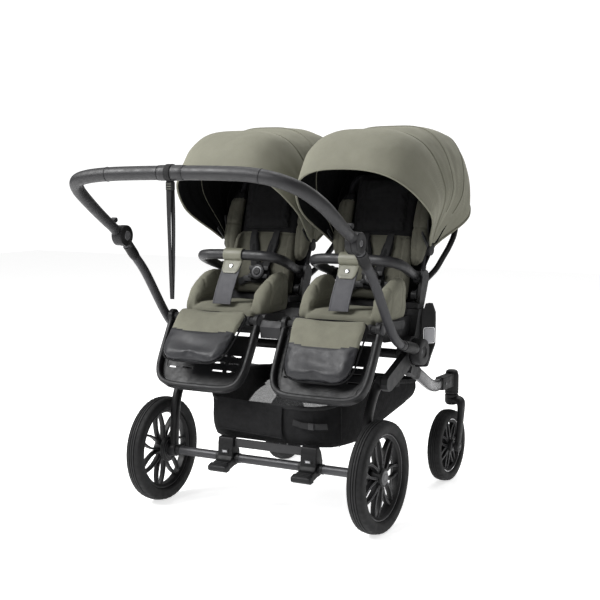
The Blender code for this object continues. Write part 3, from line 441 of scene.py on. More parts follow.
def grid_sheet(bm, front, back, mat_front=0, mat_back=1, mat_edge=0):
    """Closed thin sheet from two equal grids of points."""
    grids = [[[bm.verts.new(p) for p in row] for row in grid] for grid in (front, back)]
    rows, cols = len(front), len(front[0])
    for which, grid in enumerate(grids):
        for i in range(rows - 1):
            for j in range(cols - 1):
                f = bm.faces.new((grid[i][j], grid[i + 1][j], grid[i + 1][j + 1], grid[i][j + 1]))
                f.material_index = mat_back if which else mat_front
    a, b = grids
    edge = [(i, 0) for i in range(rows)] + [(rows - 1, j) for j in range(1, cols)]
    edge += [(i, cols - 1) for i in range(rows - 2, -1, -1)] + [(0, j) for j in range(cols - 2, 0, -1)]
    for (i, j), (k, m) in zip(edge, edge[1:] + edge[:1]):
        f = bm.faces.new((a[i][j], a[k][m], b[k][m], b[i][j]))
        f.material_index = mat_edge


def add_strap(bm, points, width, thick, normal, mat=0, twist=None):
    """Flat webbing along points. normal: its face direction, one or per point."""
    points = [Vector(p) for p in points]
    n = len(points)
    rings = []
    for i, p in enumerate(points):
        tangent = (points[min(i + 1, n - 1)] - points[max(i - 1, 0)]).normalized()
        face = Vector(normal[i] if isinstance(normal, list) else normal)
        face = (face - face.dot(tangent) * tangent).normalized()
        if twist:
            face = Matrix.Rotation(twist[i], 3, tangent) @ face
        side = tangent.cross(face)
        w = (width[i] if isinstance(width, list) else width) / 2
        h = thick / 2
        e = min(h * 0.9, w * 0.3)
        ring = [(-w, -h + e * 0.4), (-w + e, -h), (-w * 0.5, -h), (0, -h), (w * 0.5, -h), (w - e, -h), (w, -h + e * 0.4),
                (w, h - e * 0.4), (w - e, h), (w * 0.5, h), (0, h), (-w * 0.5, h), (-w + e, h), (-w, h - e * 0.4)]
        rings.append([bm.verts.new(p + side * a + face * b) for a, b in ring])
    add_faces(bm, rings, mat=mat)


def modifier_bevel(node_name, width, segments=2, mat=None):
    """A CAD node keeps its mesh and gets rounded edges and its material."""
    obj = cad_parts[node_name]
    obj.data.materials.clear()
    obj.data.materials.append(MAT[mat])
    m = obj.modifiers.new("edges", "BEVEL")
    m.width = width
    m.segments = segments
    m.limit_method = "ANGLE"
    m.angle_limit = math.radians(32)
    m.use_clamp_overlap = True
    m.harden_normals = False
    return obj


def turned(angle):
    a = math.radians(angle)
    return (-math.sin(a), -math.cos(a)), (-math.cos(a), math.sin(a))


def knee(d, n, angle):
    along, out = turned(angle)
    return (KNEE_Y + along[0] * d + out[0] * n, KNEE_Z + along[1] * d + out[1] * n)


def back(u, t, n):
    a = math.radians(BACK_ANGLE)
    return (u, BACK_Y + math.sin(a) * t - math.cos(a) * n, BACK_Z + math.cos(a) * t + math.sin(a) * n)


def span(s, a, b):
    return (a, b) if s > 0 else (-b, -a)


# ================================================================ cloth
def inflate(obj, voxel=0.0055, pressure=4.0, cap=0.010, pins=None, frames=20, smooth=1, stiff=15.0):
    """Swells a closed cushion with Blender's cloth, keeps every point within cap of where it was, and applies it."""
    bpy.context.view_layer.objects.active = obj
    m = obj.modifiers.new("remesh", "REMESH")
    m.mode = "VOXEL"
    m.voxel_size = voxel
    m.use_smooth_shade = True
    apply_modifiers(obj)
    if smooth:
        m = obj.modifiers.new("even", "SMOOTH")
        m.factor = 0.5
        m.iterations = smooth
        apply_modifiers(obj)
    rest = np.array([v.co for v in obj.data.vertices], float)
    group = obj.vertex_groups.new(name="held")
    held = pins(rest) if pins else np.zeros(len(rest))
    for i, w in enumerate(held):
        if w > 0.001:
            group.add([i], float(w), "REPLACE")
    m = obj.modifiers.new("cloth", "CLOTH")
    s = m.settings
    s.quality = 6
    s.mass = 0.25
    s.tension_stiffness = s.compression_stiffness = stiff
    s.shear_stiffness = stiff * 0.6
    s.bending_stiffness = 0.6
    s.tension_damping = s.compression_damping = 8
    s.use_pressure = True
    s.uniform_pressure_force = pressure
    s.effector_weights.gravity = 0.0
    s.vertex_group_mass = "held"
    m.collision_settings.use_collision = False
    m.point_cache.frame_start, m.point_cache.frame_end = 1, frames
    scene = bpy.context.scene
    for f in range(1, frames + 1):
        scene.frame_set(f)
    apply_modifiers(obj)
    scene.frame_set(1)
    now = np.array([v.co for v in obj.data.vertices], float)
    move = now - rest
    far = np.linalg.norm(move, axis=1)
    scale = np.where(far > cap, cap / np.maximum(far, 1e-9), 1.0)
    now = rest + move * scale[:, None]
    obj.data.vertices.foreach_set("co", now.astype(np.float32).ravel())
    obj.data.update()
    obj.vertex_groups.clear()
    return obj


def apply_modifiers(obj):
    graph = bpy.context.evaluated_depsgraph_get()
    mesh = bpy.data.meshes.new_from_object(obj.evaluated_get(graph))
    materials = [m for m in obj.data.materials]
    obj.modifiers.clear()
    old = obj.data
    obj.data = mesh
    mesh.materials.clear()
    for m in materials:
        mesh.materials.append(m)
    if old.users == 0:
        bpy.data.meshes.remove(old)


def points_of(obj):
    return np.array([v.co for v in obj.data.vertices], float)


def set_points(obj, co):
    obj.data.vertices.foreach_set("co", np.asarray(co, np.float32).ravel())
    obj.data.update()


def smooth_shade(obj, subsurf=1):
    for p in obj.data.polygons:
        p.use_smooth = True
    if subsurf:
        m = obj.modifiers.new("smooth", "SUBSURF")
        m.levels = m.render_levels = subsurf


def groove(co, distance, width, depth):
    """How far each point sinks by a sewn line at this distance from it."""
    return depth * np.exp(-(distance / width) ** 2)


# ================================================================ wheels
def tyre(name, body, node, centre, radius, inner, half, cuts, depth, lugs):
    """Tyre with a rounded tread, ring grooves at cuts, sidewall ridges and fine shoulder notches."""
    mid = (radius + inner) / 2
    crown = 0.0022 if radius > 0.12 else 0.0016
    flat = 0.60 * half
    row = []
    marks = sorted(cuts)
    tread = [0.0]
    for g in marks:
        if g == 0.0:
            tread = [0.0, 0.0011, 0.0016]
        else:
            tread += [g - 0.0016, g - 0.0011, g + 0.0011, g + 0.0016]
    tread.append(flat)
    for h in tread:
        sunk = any(abs(h - g) < 0.00125 for g in marks)
        row.append((radius - crown * (h / flat) ** 2 - (depth if sunk else 0.0), h))
    top = radius - crown
    for k in range(1, 9):
        t = math.pi / 2 * k / 8
        row.append((mid + (top - mid) * math.cos(t) ** 0.75, flat + (half - flat) * math.sin(t) ** 0.8))
    low = inner + 0.0002
    for k in range(1, 8):
        t = math.pi / 2 * k / 7
        ridge = 0.0008 if k in (3, 4) else 0.0
        row.append((mid - (mid - low) * math.sin(t), 0.62 * half + 0.38 * half * math.cos(t) ** 0.8 + ridge))
    full = row + [(r, -h) for r, h in row[::-1] if h > 1e-9]
    bm = bmesh.new()
    add_lathe(bm, full, centre, (1, 0, 0), segments=lugs * 3)
    # shoulder notches
    c = Vector(centre)
    for v in bm.verts:
        d = v.co - c
        r = math.hypot(d.y, d.z)
        h = abs(d.x)
        if r > mid + (top - mid) * 0.80 and h > flat * 0.98:
            k = round(math.atan2(d.z, d.y) / (2 * math.pi) * lugs * 3)
            if k % 3 == 0:
                pull = 1 - 0.0013 / r
                v.co = Vector((v.co.x - math.copysign(0.0007, d.x), c.y + d.y * pull, c.z + d.z * pull))
    return piece(bm, name, "tyre", body, node, sharp=34)


def rim(name, body, node, centre, s, ring_r, half, hub_r, hub_in, hub_out, drum_r, bright):
    """Spoked rim: channel with a thin bright edge line, seven V pairs of spokes, hub with a drum inside and a cap outside."""
    bm = bmesh.new()
    ring = [(ring_r - 0.0002, half + 0.0008), (ring_r - 0.0030, half + 0.0010), (ring_r - 0.0052, half * 0.86), (ring_r - 0.0100, half * 0.66),
            (ring_r - 0.0112, 0.0), (ring_r - 0.0100, -half * 0.66), (ring_r - 0.0052, -half * 0.86),
            (ring_r - 0.0030, -half - 0.0010), (ring_r - 0.0002, -half - 0.0008)]
    add_lathe(bm, [(r, h * s) for r, h in ring], centre, (1, 0, 0), segments=112)
    line = [(ring_r - 0.0008, half + 0.0009), (ring_r - 0.0010, half + 0.0014), (ring_r - 0.0024, half + 0.0015), (ring_r - 0.0028, half + 0.0009)]
    add_lathe(bm, [(r, h * s) for r, h in line], centre, (1, 0, 0), segments=112, mat=1 if bright else 2)
    hub = [(0, hub_in), (drum_r - 0.004, hub_in), (drum_r - 0.001, hub_in + 0.0012), (drum_r, hub_in + 0.003), (drum_r, hub_in + 0.010),
           (drum_r - 0.0015, hub_in + 0.0118), (hub_r + 0.0010, hub_in + 0.0132), (hub_r, hub_in + 0.015), (hub_r, hub_out - 0.0055),
           (hub_r - 0.0012, hub_out - 0.0040), (hub_r - 0.0035, hub_out - 0.0032), (0, hub_out - 0.0032)]
    add_lathe(bm, [(r, h * s) for r, h in hub], centre, (1, 0, 0), segments=64, closed=False)
    cap = [(hub_r * 0.80, hub_out - 0.0034), (hub_r * 0.80, hub_out - 0.0014), (hub_r * 0.76, hub_out - 0.0004), (hub_r * 0.60, hub_out),
           (hub_r * 0.46, hub_out - 0.0002), (hub_r * 0.44, hub_out - 0.0010), (hub_r * 0.40, hub_out - 0.0010), (hub_r * 0.38, hub_out),
           (0, hub_out + 0.0003)]
    add_lathe(bm, [(r, h * s) for r, h in cap], centre, (1, 0, 0), segments=64, mat=2, closed=False)
    c = Vector(centre)
    for k in range(7):
        for lean in (-1, 1):
            a = 2 * math.pi * k / 7
            near, far = a + lean * 0.37, a + lean * 0.070
            pts, wide, deep = [], [], []
            for i in range(7):
                t = i / 6
                ang = near + (far - near) * t + lean * 0.03 * math.sin(math.pi * t)
                r = hub_r - 0.003 + (ring_r - 0.0065 - hub_r + 0.003) * t
                pts.append(c + Vector((s * (0.0016 * (1 - t) + 0.0004), r * math.cos(ang), r * math.sin(ang))))
                wide.append(0.0042 - 0.0012 * math.sin(math.pi * t))
                deep.append(0.0090 - 0.0020 * t)
            add_sweep(bm, pts, deep, wide, sides=16, across=(1, 0, 0), square=0.50)
            if True:
                for w_ in (-1, 1):
                    pts2 = []
                    for i, p in enumerate(pts[1:-1]):
                        q = (pts[i + 2] - pts[i]).normalized()
                        pts2.append(p + Vector((s * (deep[i + 1] - 0.0006), 0, 0)) + q.cross(Vector((1, 0, 0))) * (w_ * (wide[i + 1] - 0.0006)))
                    add_sweep(bm, pts2, 0.0004, 0.0004, sides=6, across=(1, 0, 0), mat=2)
    return piece(bm, name, ["frame_black", "chrome", "plastic_grey"], body, node, sharp=34)


for side, s in SIDES:
    c = P(s * REAR_X, 0, REAR_R)
    tyre(f"rear_tyre_rubber_{side}", f"rear_wheel_{side}", f"rear_tyre_{side}", c, REAR_R, 0.1135, 0.0235, [0.0, 0.0072], 0.0020, 48)
    rim(f"rear_rim_spokes_{side}", f"rear_wheel_{side}", f"rear_rim_{side}", c, s, 0.1135, 0.0135, 0.0240, -0.0268, 0.0195, 0.0360, False)
    bm = bmesh.new()
    for r in (0.0285, 0.0200):
        add_lathe(bm, [(r, -0.0272), (r + 0.002, -0.0272), (r + 0.002, -0.0284), (r, -0.0284)] if s > 0 else
                  [(r, 0.0272), (r + 0.002, 0.0272), (r + 0.002, 0.0284), (r, 0.0284)], c, (1, 0, 0), segments=56)
    piece(bm, f"rear_drum_rings_{side}", "plastic_soft", f"rear_wheel_{side}")
    c = P(s * FRONT_X, FRONT_Y, FRONT_R)
    tyre(f"front_tyre_rubber_{side}", f"front_wheel_{side}", f"front_tyre_{side}", c, FRONT_R, 0.0810, 0.0200, [0.0, 0.0060], 0.0018, 40)
    rim(f"front_rim_spokes_{side}", f"front_wheel_{side}", f"front_rim_{side}", c, s, 0.0810, 0.0115, 0.0180, -0.0205, 0.0235, 0.0185, True)

# ---------------------------------------------------------------- forks and caster housings
for side, s in SIDES:
    bm = bmesh.new()
    c = P(s * FRONT_X, SWIVEL_Y, 0)
    add_lathe(bm, [(0, 0.2280), (0.013, 0.2280), (0.0160, 0.2290), (0.0200, 0.2350), (0.0206, 0.2375), (0.0206, 0.2480), (0.0196, 0.2486),
                   (0.0196, 0.2500), (0.0206, 0.2506), (0.0206, 0.2580), (0.0188, 0.2606), (0, 0.2612)], c, (0, 0, 1), segments=56, closed=False)
    route = [(0.289, 0.634, 0.243), (0.301, 0.633, 0.2435), (0.3110, 0.631, 0.2405), (0.317, 0.6285, 0.230), (0.3187, 0.622, 0.195), (0.3187, 0.611, 0.150),
             (0.3187, 0.603, 0.1190), (0.3187, 0.600, 0.1087)]
    pts = smooth_path([P(s * x, y, z) for x, y, z in route], 5)
    wide = spread([0.0190, 0.0200, 0.0200, 0.0190, 0.0165, 0.0150, 0.0150, 0.0155], 5)
    high = spread([0.0120, 0.0125, 0.0110, 0.0092, 0.0080, 0.0075, 0.0070, 0.0066], 5)
    add_sweep(bm, pts, wide, high, sides=28, across=(0, 1, 0.1), square=0.75)
    hub = P(s * 0.3190, FRONT_Y, FRONT_R)
    add_lathe(bm, [(0, -0.0076 * s), (0.0150, -0.0076 * s), (0.0162, -0.006 * s), (0.0165, 0.004 * s), (0.0155, 0.0064 * s), (0.0120, 0.0074 * s),
                   (0.0105, 0.0074 * s), (0.0100, 0.0062 * s), (0, 0.0062 * s)], hub, (1, 0, 0), segments=48, closed=False)
    add_lathe(bm, [(0, 0.0062 * s), (0.0062, 0.0062 * s), (0.0060, 0.0080 * s), (0.0045, 0.0088 * s), (0, 0.0090 * s)], hub, (1, 0, 0), segments=32, closed=False, mat=1)
    add_sweep(bm, [P(s * 0.2640, FRONT_Y, FRONT_R), P(s * 0.3150, FRONT_Y, FRONT_R)], 0.0058, sides=24, across=(0, 1, 0))
    piece(bm, f"fork_arm_{side}", ["plastic_black", "plastic_grey"], f"caster_{side}", f"fork_{side}", sharp=30)

    bm = bmesh.new()
    add_lathe(bm, [(0, 0.2620), (0.0190, 0.2620), (0.0208, 0.2634), (0.0210, 0.2680), (0.0202, 0.2686), (0.0202, 0.2700), (0.0210, 0.2706), (0.0210, 0.3180),
                   (0.0196, 0.3230), (0.0190, 0.3260), (0.0172, 0.3322), (0.0120, 0.3350), (0, 0.3358)], c, (0, 0, 1), segments=56, closed=False)
    add_box(bm, P(s * FRONT_X - 0.0135, 0.5375, 0.2860), P(s * FRONT_X + 0.0135, 0.6280, 0.3255), bevel=0.0042, segments=4)
    add_box(bm, P(s * FRONT_X - 0.0142, 0.548, 0.2925), P(s * FRONT_X + 0.0142, 0.598, 0.3190), bevel=0.0022, segments=3, mat=1)
    for y in (0.558, 0.590):
        add_lathe(bm, [(0, 0.0140), (0.0038, 0.0140), (0.0038, 0.0152), (0.0028, 0.0158), (0, 0.0158)] if s > 0 else
                  [(0, -0.0140), (0.0038, -0.0140), (0.0038, -0.0152), (0.0028, -0.0158), (0, -0.0158)], P(s * FRONT_X, y, 0.3055), (1, 0, 0),
                  segments=24, closed=False, mat=2)
    piece(bm, f"caster_block_{side}", ["plastic_black", "frame_black", "plastic_grey"], "chassis", f"caster_housing_{side}", sharp=32)

    path = [(0.2612, 0.3896, 0.3215), (0.310, 0.366, 0.3215), (0.361, 0.342, 0.318), (0.405, 0.326, 0.311),
            (0.463, 0.3125, 0.2990), (0.505, 0.3080, 0.290), (0.5330, 0.3065, 0.283)]
    bm = bmesh.new()
    pts = smooth_path([P(s * x, y, z) for y, z, x in path], 8)
    add_sweep(bm, pts, 0.0100, 0.0172, sides=36, square=0.62)
    add_sweep(bm, pts[:5], 0.0112, 0.0184, sides=36, square=0.60, mat=1)
    add_sweep(bm, pts[-5:], 0.0110, 0.0182, sides=36, square=0.60, mat=1)
    piece(bm, f"front_leg_tube_{side}", ["leg_silver", "plastic_black"], "chassis", f"front_leg_{side}", sharp=30)

# ---------------------------------------------------------------- push frame
FACE_X, FACE_Y = 0.3410, 0.268


def facing(s, along, out):
    return s * (FACE_X + 0.6 * along + 0.8 * out), FACE_Y + 0.8 * along - 0.6 * out


def face_plate(bm, s, centre, half, z, tall, out0, out1, corner, mat=0, hole=None, steps=6):
    """Rounded rectangle plate, or a frame round a hole, on the lock housing's face."""
    def outline(hw, ht, r):
        pts = []
        for cx, cz, a0 in ((hw - r, ht - r, 0), (-hw + r, ht - r, 90), (-hw + r, -ht + r, 180), (hw - r, -ht + r, 270)):
            for i in range(steps + 1):
                a = math.radians(a0 + 90 * i / steps)
                pts.append((cx + r * math.cos(a), cz + r * math.sin(a)))
        return pts

    def ring(hw, ht, r, out):
        row = []
        for u, v in outline(hw, ht, r):
            x, y = facing(s, centre + u, out)
            row.append(bm.verts.new(P(x, y, z + v)))
        return row

    e = 0.0006
    if hole:
        hw, ht = hole
        rings = [ring(half, tall, corner, out0), ring(half, tall, corner, out1 - e), ring(half - e, tall - e, corner, out1),
                 ring(hw + e, ht + e, corner * 0.8, out1), ring(hw, ht, corner * 0.8, out1 - e), ring(hw, ht, corner * 0.8, out0)]
        add_faces(bm, rings, caps=False, mat=mat, loop=True)
    else:
        rings = [ring(half, tall, corner, out0), ring(half, tall, corner, out1 - e * 1.2), ring(half - e, tall - e, corner, out1 - e * 0.3),
                 ring(half - 3 * e, tall - 3 * e, corner * 0.9, out1)]
        add_faces(bm, rings, mat=mat)


for side, s in SIDES:
    route = [(0.222, 0.4500), (0.175, 0.4660), (0.110, 0.4820), (0.070, 0.5020), (0.030, 0.5430), (-0.053, 0.6540),
             (-0.1005, 0.7035), (-0.1385, 0.7425)]
    pts = smooth_path([P(s * 0.355, y, z) for y, z in route], 8)
    bm = bmesh.new()
    add_sweep(bm, pts, 0.0125, sides=36)
    # collar where the tube enters the hub
    add_sweep(bm, pts[5:15], [0.0140, 0.0150, 0.0152, 0.0152, 0.0152, 0.0152, 0.0152, 0.0152, 0.0148, 0.0138], sides=36, mat=1)
    add_sweep(bm, pts[15:18], [0.0136, 0.0138, 0.0134], sides=36, mat=1)
    # collar at the knuckle
    add_sweep(bm, pts[-9:-1], [0.0130, 0.0142, 0.0146, 0.0146, 0.0146, 0.0146, 0.0146, 0.0146], sides=36, mat=1)
    # neck between the collar and the knuckle
    add_sweep(bm, [P(s * 0.3470, -0.1330, 0.7370), P(s * 0.3458, -0.1410, 0.7450), P(s * 0.3455, -0.1490, 0.7530)], [0.0090, 0.0086, 0.0082], sides=28, mat=1)
    # lock housing: lofted with rounded corners
    rows = []
    for z, xa, ya, xb, yb, yf in (
        (0.405, FACE_X, 0.226, 0.3665, 0.246, 0.262), (0.432, FACE_X, 0.238, 0.3665, 0.268, 0.284),
        (0.460, FACE_X, FACE_Y, 0.3665, 0.302, 0.311), (0.493, FACE_X, FACE_Y, 0.3665, 0.302, 0.312), (0.526, FACE_X, FACE_Y, 0.3665, 0.302, 0.313),
        (0.550, FACE_X, 0.275, 0.3655, 0.303, 0.314), (0.574, 0.3430, 0.290, 0.3560, 0.302, 0.314),
    ):
        corners = [Vector((s * x, y)) for x, y in ((xa, ya), (xb, yb), (xb, yf), (xa, yf))]
        row = []
        for i in range(4):
            a, b, d = corners[i - 1], corners[i], corners[(i + 1) % 4]
            r = min(0.003, (a - b).length * 0.35, (d - b).length * 0.35)
            p, q = b + (a - b).normalized() * r, b + (d - b).normalized() * r
            for k in range(4):
                t = k / 3
                m = (1 - t) ** 2 * p + 2 * t * (1 - t) * b + t * t * q
                row.append(bm.verts.new(P(m.x, m.y, z)))
        rows.append(row)
    add_faces(bm, rows, mat=1)
    c = P(s * 0.355, HUB_Y, HUB_Z)
    add_lathe(bm, [(0, 0.0104 * s), (0.0150, 0.0104 * s), (0.0160, 0.0118 * s), (0.0170, 0.0128 * s), (0.0320, 0.0133 * s), (0.0350, 0.0122 * s), (0.0360, 0.0100 * s),
                   (0.0360, -0.0125 * s), (0.0345, -0.0145 * s), (0, -0.0145 * s)], c, (1, 0, 0), segments=80, closed=False, mat=1)
    face_plate(bm, s, 0.0240, 0.0186, 0.4865, 0.0226, -0.003, 0.0020, 0.0060, mat=2, hole=(0.0162, 0.0200))
    # knuckle, inner half
    k = P(s * 0.3475, KNUCKLE_Y, KNUCKLE_Z)
    add_lathe(bm, [(0, -0.0125 * s), (0.0150, -0.0125 * s), (0.0165, -0.0115 * s), (0.0255, -0.0108 * s), (0.0278, -0.0092 * s), (0.0284, -0.007 * s),
                   (0.0284, 0.0058 * s), (0.0274, 0.0068 * s), (0, 0.0070 * s)], k, (1, 0, 0), segments=64, closed=False, mat=1)
    add_lathe(bm, [(0, -0.0136 * s), (0.0118, -0.0136 * s), (0.0130, -0.0122 * s)], k, (1, 0, 0), segments=48, closed=False, mat=3)
    piece(bm, f"push_tube_{side}_look", ["frame_grey", "plastic_black", "chrome", "plastic_grey"], "push_frame", f"push_tube_{side}", sharp=32)

    bm = bmesh.new()
    face_plate(bm, s, 0.0240, 0.0154, 0.4865, 0.0192, -0.0018, 0.0030, 0.0052)
    face_plate(bm, s, 0.0240, 0.0090, 0.4865, 0.0120, 0.0026, 0.0035, 0.0040, hole=(0.0078, 0.0108))
    piece(bm, f"lock_button_cap_{side}", "button_grey", f"lock_button_{side}", f"lock_button_{side}", sharp=30)

    bm = bmesh.new()
    b = P(s * 0.3656, KNUCKLE_Y, KNUCKLE_Z)
    add_lathe(bm, [(0, 0), (0.0088, 0), (0.0088, 0.0036 * s), (0.0080, 0.0045 * s), (0.0050, 0.0047 * s), (0.0046, 0.0042 * s), (0, 0.0040 * s)], b, (1, 0, 0),
              segments=48, closed=False)
    piece(bm, f"knuckle_cap_{side}", "plastic_grey", f"knuckle_button_{side}", f"knuckle_button_{side}", sharp=30)

# ---------------------------------------------------------------- handlebar
HANDLE = [(0.0, -0.390, 0.935), (0.12, -0.389, 0.934), (0.22, -0.388, 0.931), (0.292, -0.384, 0.924),
          (0.332, -0.372, 0.912), (0.350, -0.343, 0.890), (0.3545, -0.300, 0.859), (0.3550, -0.245, 0.820),
          (0.355, -0.187, 0.782)]
RADII = [0.0178, 0.0178, 0.0178, 0.0178, 0.0177, 0.0172, 0.0160, 0.0147, 0.0135]
HANDLE_RIGHT = [(0.0, -0.390, 0.935), (0.12, -0.389, 0.934), (0.20, -0.3860, 0.9300), (0.265, -0.3770, 0.9175),
                (0.313, -0.353, 0.8955), (0.340, -0.312, 0.8640), (0.351, -0.267, 0.8310), (0.3545, -0.226, 0.8035),
                (0.355, -0.187, 0.782)]
pts = smooth_path([P(-x, y, z) for x, y, z in HANDLE[:0:-1]] + [P(x, y, z) for x, y, z in HANDLE_RIGHT], 10)
rad = spread(RADII[:0:-1] + RADII, 10)
bm = bmesh.new()
add_sweep(bm, pts, [r * 0.99 for r in rad], sides=40, across=(0, 0.6, 0.8))


def nearest(points, x):
    return min(range(len(points)), key=lambda i: abs(points[i].x - x))


# collar round the strap and its seam rings
a, b = nearest(pts, -0.060), nearest(pts, 0.014)
sub = [pts[a].lerp(pts[b], i / 12) for i in range(13)]
add_sweep(bm, sub, [0.0172] + [0.0192] * 11 + [0.0172], sides=40, across=(0, 0.6, 0.8), mat=0)
for x in (-0.060, 0.015, 0.2215, -0.2215):
    i = nearest(pts, x)
    q = pts[i]
    t = (pts[i + 1] - pts[i - 1]).normalized()
    add_sweep(bm, [q - t * 0.0011, q - t * 0.0005, q + t * 0.0005, q + t * 0.0011], [0.0170, 0.0186, 0.0186, 0.0170], sides=40, across=(0, 0.6, 0.8), mat=1)
for s in (-1, 1):
    k = P(s * 0.3622, KNUCKLE_Y, KNUCKLE_Z)
    add_lathe(bm, [(0, -0.0085 * s), (0.0262, -0.0085 * s), (0.0275, -0.007 * s), (0.0275, 0.0062 * s), (0.0255, 0.0080 * s), (0.0130, 0.0084 * s),
                   (0.0096, 0.0074 * s), (0.0094, 0.0010 * s), (0, 0.0008 * s)], k, (1, 0, 0), segments=64, closed=False, mat=1)
    # small round knob on top of the tube, on a short stem
    add_lathe(bm, [(0, -0.0075 * s), (0.0056, -0.0075 * s), (0.0068, -0.0064 * s), (0.0068, 0.0064 * s), (0.0056, 0.0075 * s), (0, 0.0075 * s)],
              P(s * 0.3550, -0.1915, 0.8080), (1, 0, 0), segments=40, closed=False, mat=1)
    add_sweep(bm, [P(s * 0.355, -0.1990, 0.7960), P(s * 0.355, -0.1950, 0.8020), P(s * 0.355, -0.1915, 0.8075)], [0.0052, 0.0042, 0.0038], sides=20, mat=1)
    add_sweep(bm, [P(s * 0.355, -0.196, 0.7875), P(s * 0.3565, -0.178, 0.7765), P(s * 0.3595, -0.164, 0.768)], [0.0138, 0.0140, 0.0090], sides=32, mat=1)
piece(bm, "handlebar_grip", ["leatherette", "plastic_black"], "handle", "handlebar", sharp=32)

# wrist strap: a flat loop of webbing hanging from the bar, narrower at the foot
bm = bmesh.new()
ring = []
for k in range(25):
    t = math.radians(-60 + 300 * k / 24)
    ring.append(P(STRAP_X - 0.016, -0.390 + 0.0204 * math.cos(t), 0.935 + 0.0204 * math.sin(t)))
centre = P(STRAP_X - 0.016, -0.390, 0.935)
normals = [(p - centre).normalized() for p in ring]
add_strap(bm, ring, 0.0170, 0.0018, normals)
front, back_run = [], []
count = 26
for k in range(count + 1):
    t = k / count
    z = 0.918 - 0.288 * t
    sway = 0.0016 * math.sin(t * 5.2)
    front.append(P(STRAP_X - 0.016 + 0.0022 * t - 0.0062 * math.sin(math.pi * t ** 0.8), -0.3950 + 0.0030 * math.sin(math.pi * t) + 0.004 * t + sway * 0.4, z))
    back_run.append(P(STRAP_X - 0.016 + 0.0022 * t + 0.0058 * math.sin(math.pi * t ** 0.8), -0.3858 - 0.0016 * math.sin(math.pi * t) - 0.004 * t, z))
add_strap(bm, front, [0.0170 - 0.006 * (k / count) ** 0.8 for k in range(count + 1)], 0.0016, (0, -1, 0),
          twist=[0.35 * math.sin(3.0 * k / count) for k in range(count + 1)])
add_strap(bm, back_run, [0.0165 - 0.006 * (k / count) ** 0.8 for k in range(count + 1)], 0.0016, (0, 1, 0),
          twist=[0.25 * math.sin(2.4 * k / count + 0.6) for k in range(count + 1)])
add_box(bm, P(STRAP_X - 0.0245, -0.3985, 0.8935), P(STRAP_X - 0.0070, -0.3835, 0.9130), bevel=0.0012)
for z in (0.8965, 0.9025, 0.9085):
    add_strap(bm, [P(STRAP_X - 0.0225, -0.3990, z), P(STRAP_X - 0.0090, -0.3990, z)], 0.0010, 0.0008, (0, -1, 0), mat=1)
wrist = piece(bm, "wrist_strap_webbing", ["webbing", "thread"], "strap", "wrist_strap", sharp=40)

# ---------------------------------------------------------------- rear frame and brake
for side, s in SIDES:
    bm = bmesh.new()
    route = [(0.080, 0.381), (0.048, 0.352), (0.020, 0.305), (0.008, 0.255), (0.003, 0.200), (0.0, 0.1486)]
    add_sweep(bm, smooth_path([P(s * 0.3035, y, z) for y, z in route], 8), 0.0112, 0.0140, sides=32, square=0.75)
    for (y, z, r, x0, x1) in ((0.080, 0.381, 0.0190, 0.3005, 0.3155), (0.0, REAR_R, 0.0185, 0.2920, 0.3156), (0.080, 0.381, 0.0090, 0.3150, 0.3177),
                              (0.0, REAR_R, 0.0070, 0.3100, 0.3570)):
        lo, hi = x0 - 0.303, x1 - 0.303
        add_lathe(bm, [(0, lo * s), (r - 0.0012, lo * s), (r, (lo + 0.0012) * s), (r, (hi - 0.0012) * s), (r - 0.0012, hi * s), (0, hi * s)],
                  P(s * 0.303, y, z), (1, 0, 0), segments=48, closed=False)
    add_lathe(bm, [(0, -0.0040 * s), (0.0085, -0.0040 * s), (0.0095, -0.0028 * s), (0.0095, 0)], P(s * 0.3005, 0.080, 0.381), (1, 0, 0), segments=40, closed=False, mat=1)
    piece(bm, f"rear_leg_tube_{side}", ["frame_black", "plastic_grey"], "rear_frame", f"rear_leg_{side}", sharp=32)

    px = PEDAL_X[side]
    bm = bmesh.new()
    add_prism(bm, [(-0.017, 0.207), (-0.001, 0.209), (0.010, 0.194), (0.0185, 0.166), (0.0185, 0.138), (0.006, 0.1295), (-0.012, 0.1275),
                   (-0.036, 0.120), (-0.056, 0.118), (-0.066, 0.124), (-0.066, 0.134), (-0.050, 0.141), (-0.030, 0.146), (-0.0215, 0.156),
                   (-0.0205, 0.190)], px - 0.0240, px + 0.0240, bevel=0.0030, segments=3)
    add_prism(bm, [(-0.040, 0.1205), (-0.056, 0.1175), (-0.0665, 0.123), (-0.0665, 0.135), (-0.050, 0.1415), (-0.042, 0.138)],
              px - 0.0290, px + 0.0290, bevel=0.0034, segments=3)
    # recessed window with its mark, tread ribs on the foot pad
    add_prism(bm, [(-0.0215, 0.163), (-0.0235, 0.1635), (-0.0232, 0.1745), (-0.0214, 0.175)], px - 0.0105, px + 0.0105, mat=1, bevel=0.0008)
    add_prism(bm, [(-0.0228, 0.1660), (-0.0240, 0.1662), (-0.0239, 0.1718), (-0.0226, 0.1720)], px - 0.0066, px + 0.0066, mat=2, bevel=0.0005)
    for i in range(4):
        y = -0.0625 + i * 0.0060
        z = 0.1362 + i * 0.0022
        add_box(bm, P(px - 0.0215, y - 0.0012, z - 0.001), P(px + 0.0215, y + 0.0012, z + 0.0014), mat=1, bevel=0.0006)
    piece(bm, f"pedal_plate_{side}", ["plastic_black", "plastic_soft", "button_grey"], "brake", f"brake_pedal_{side}", sharp=34)

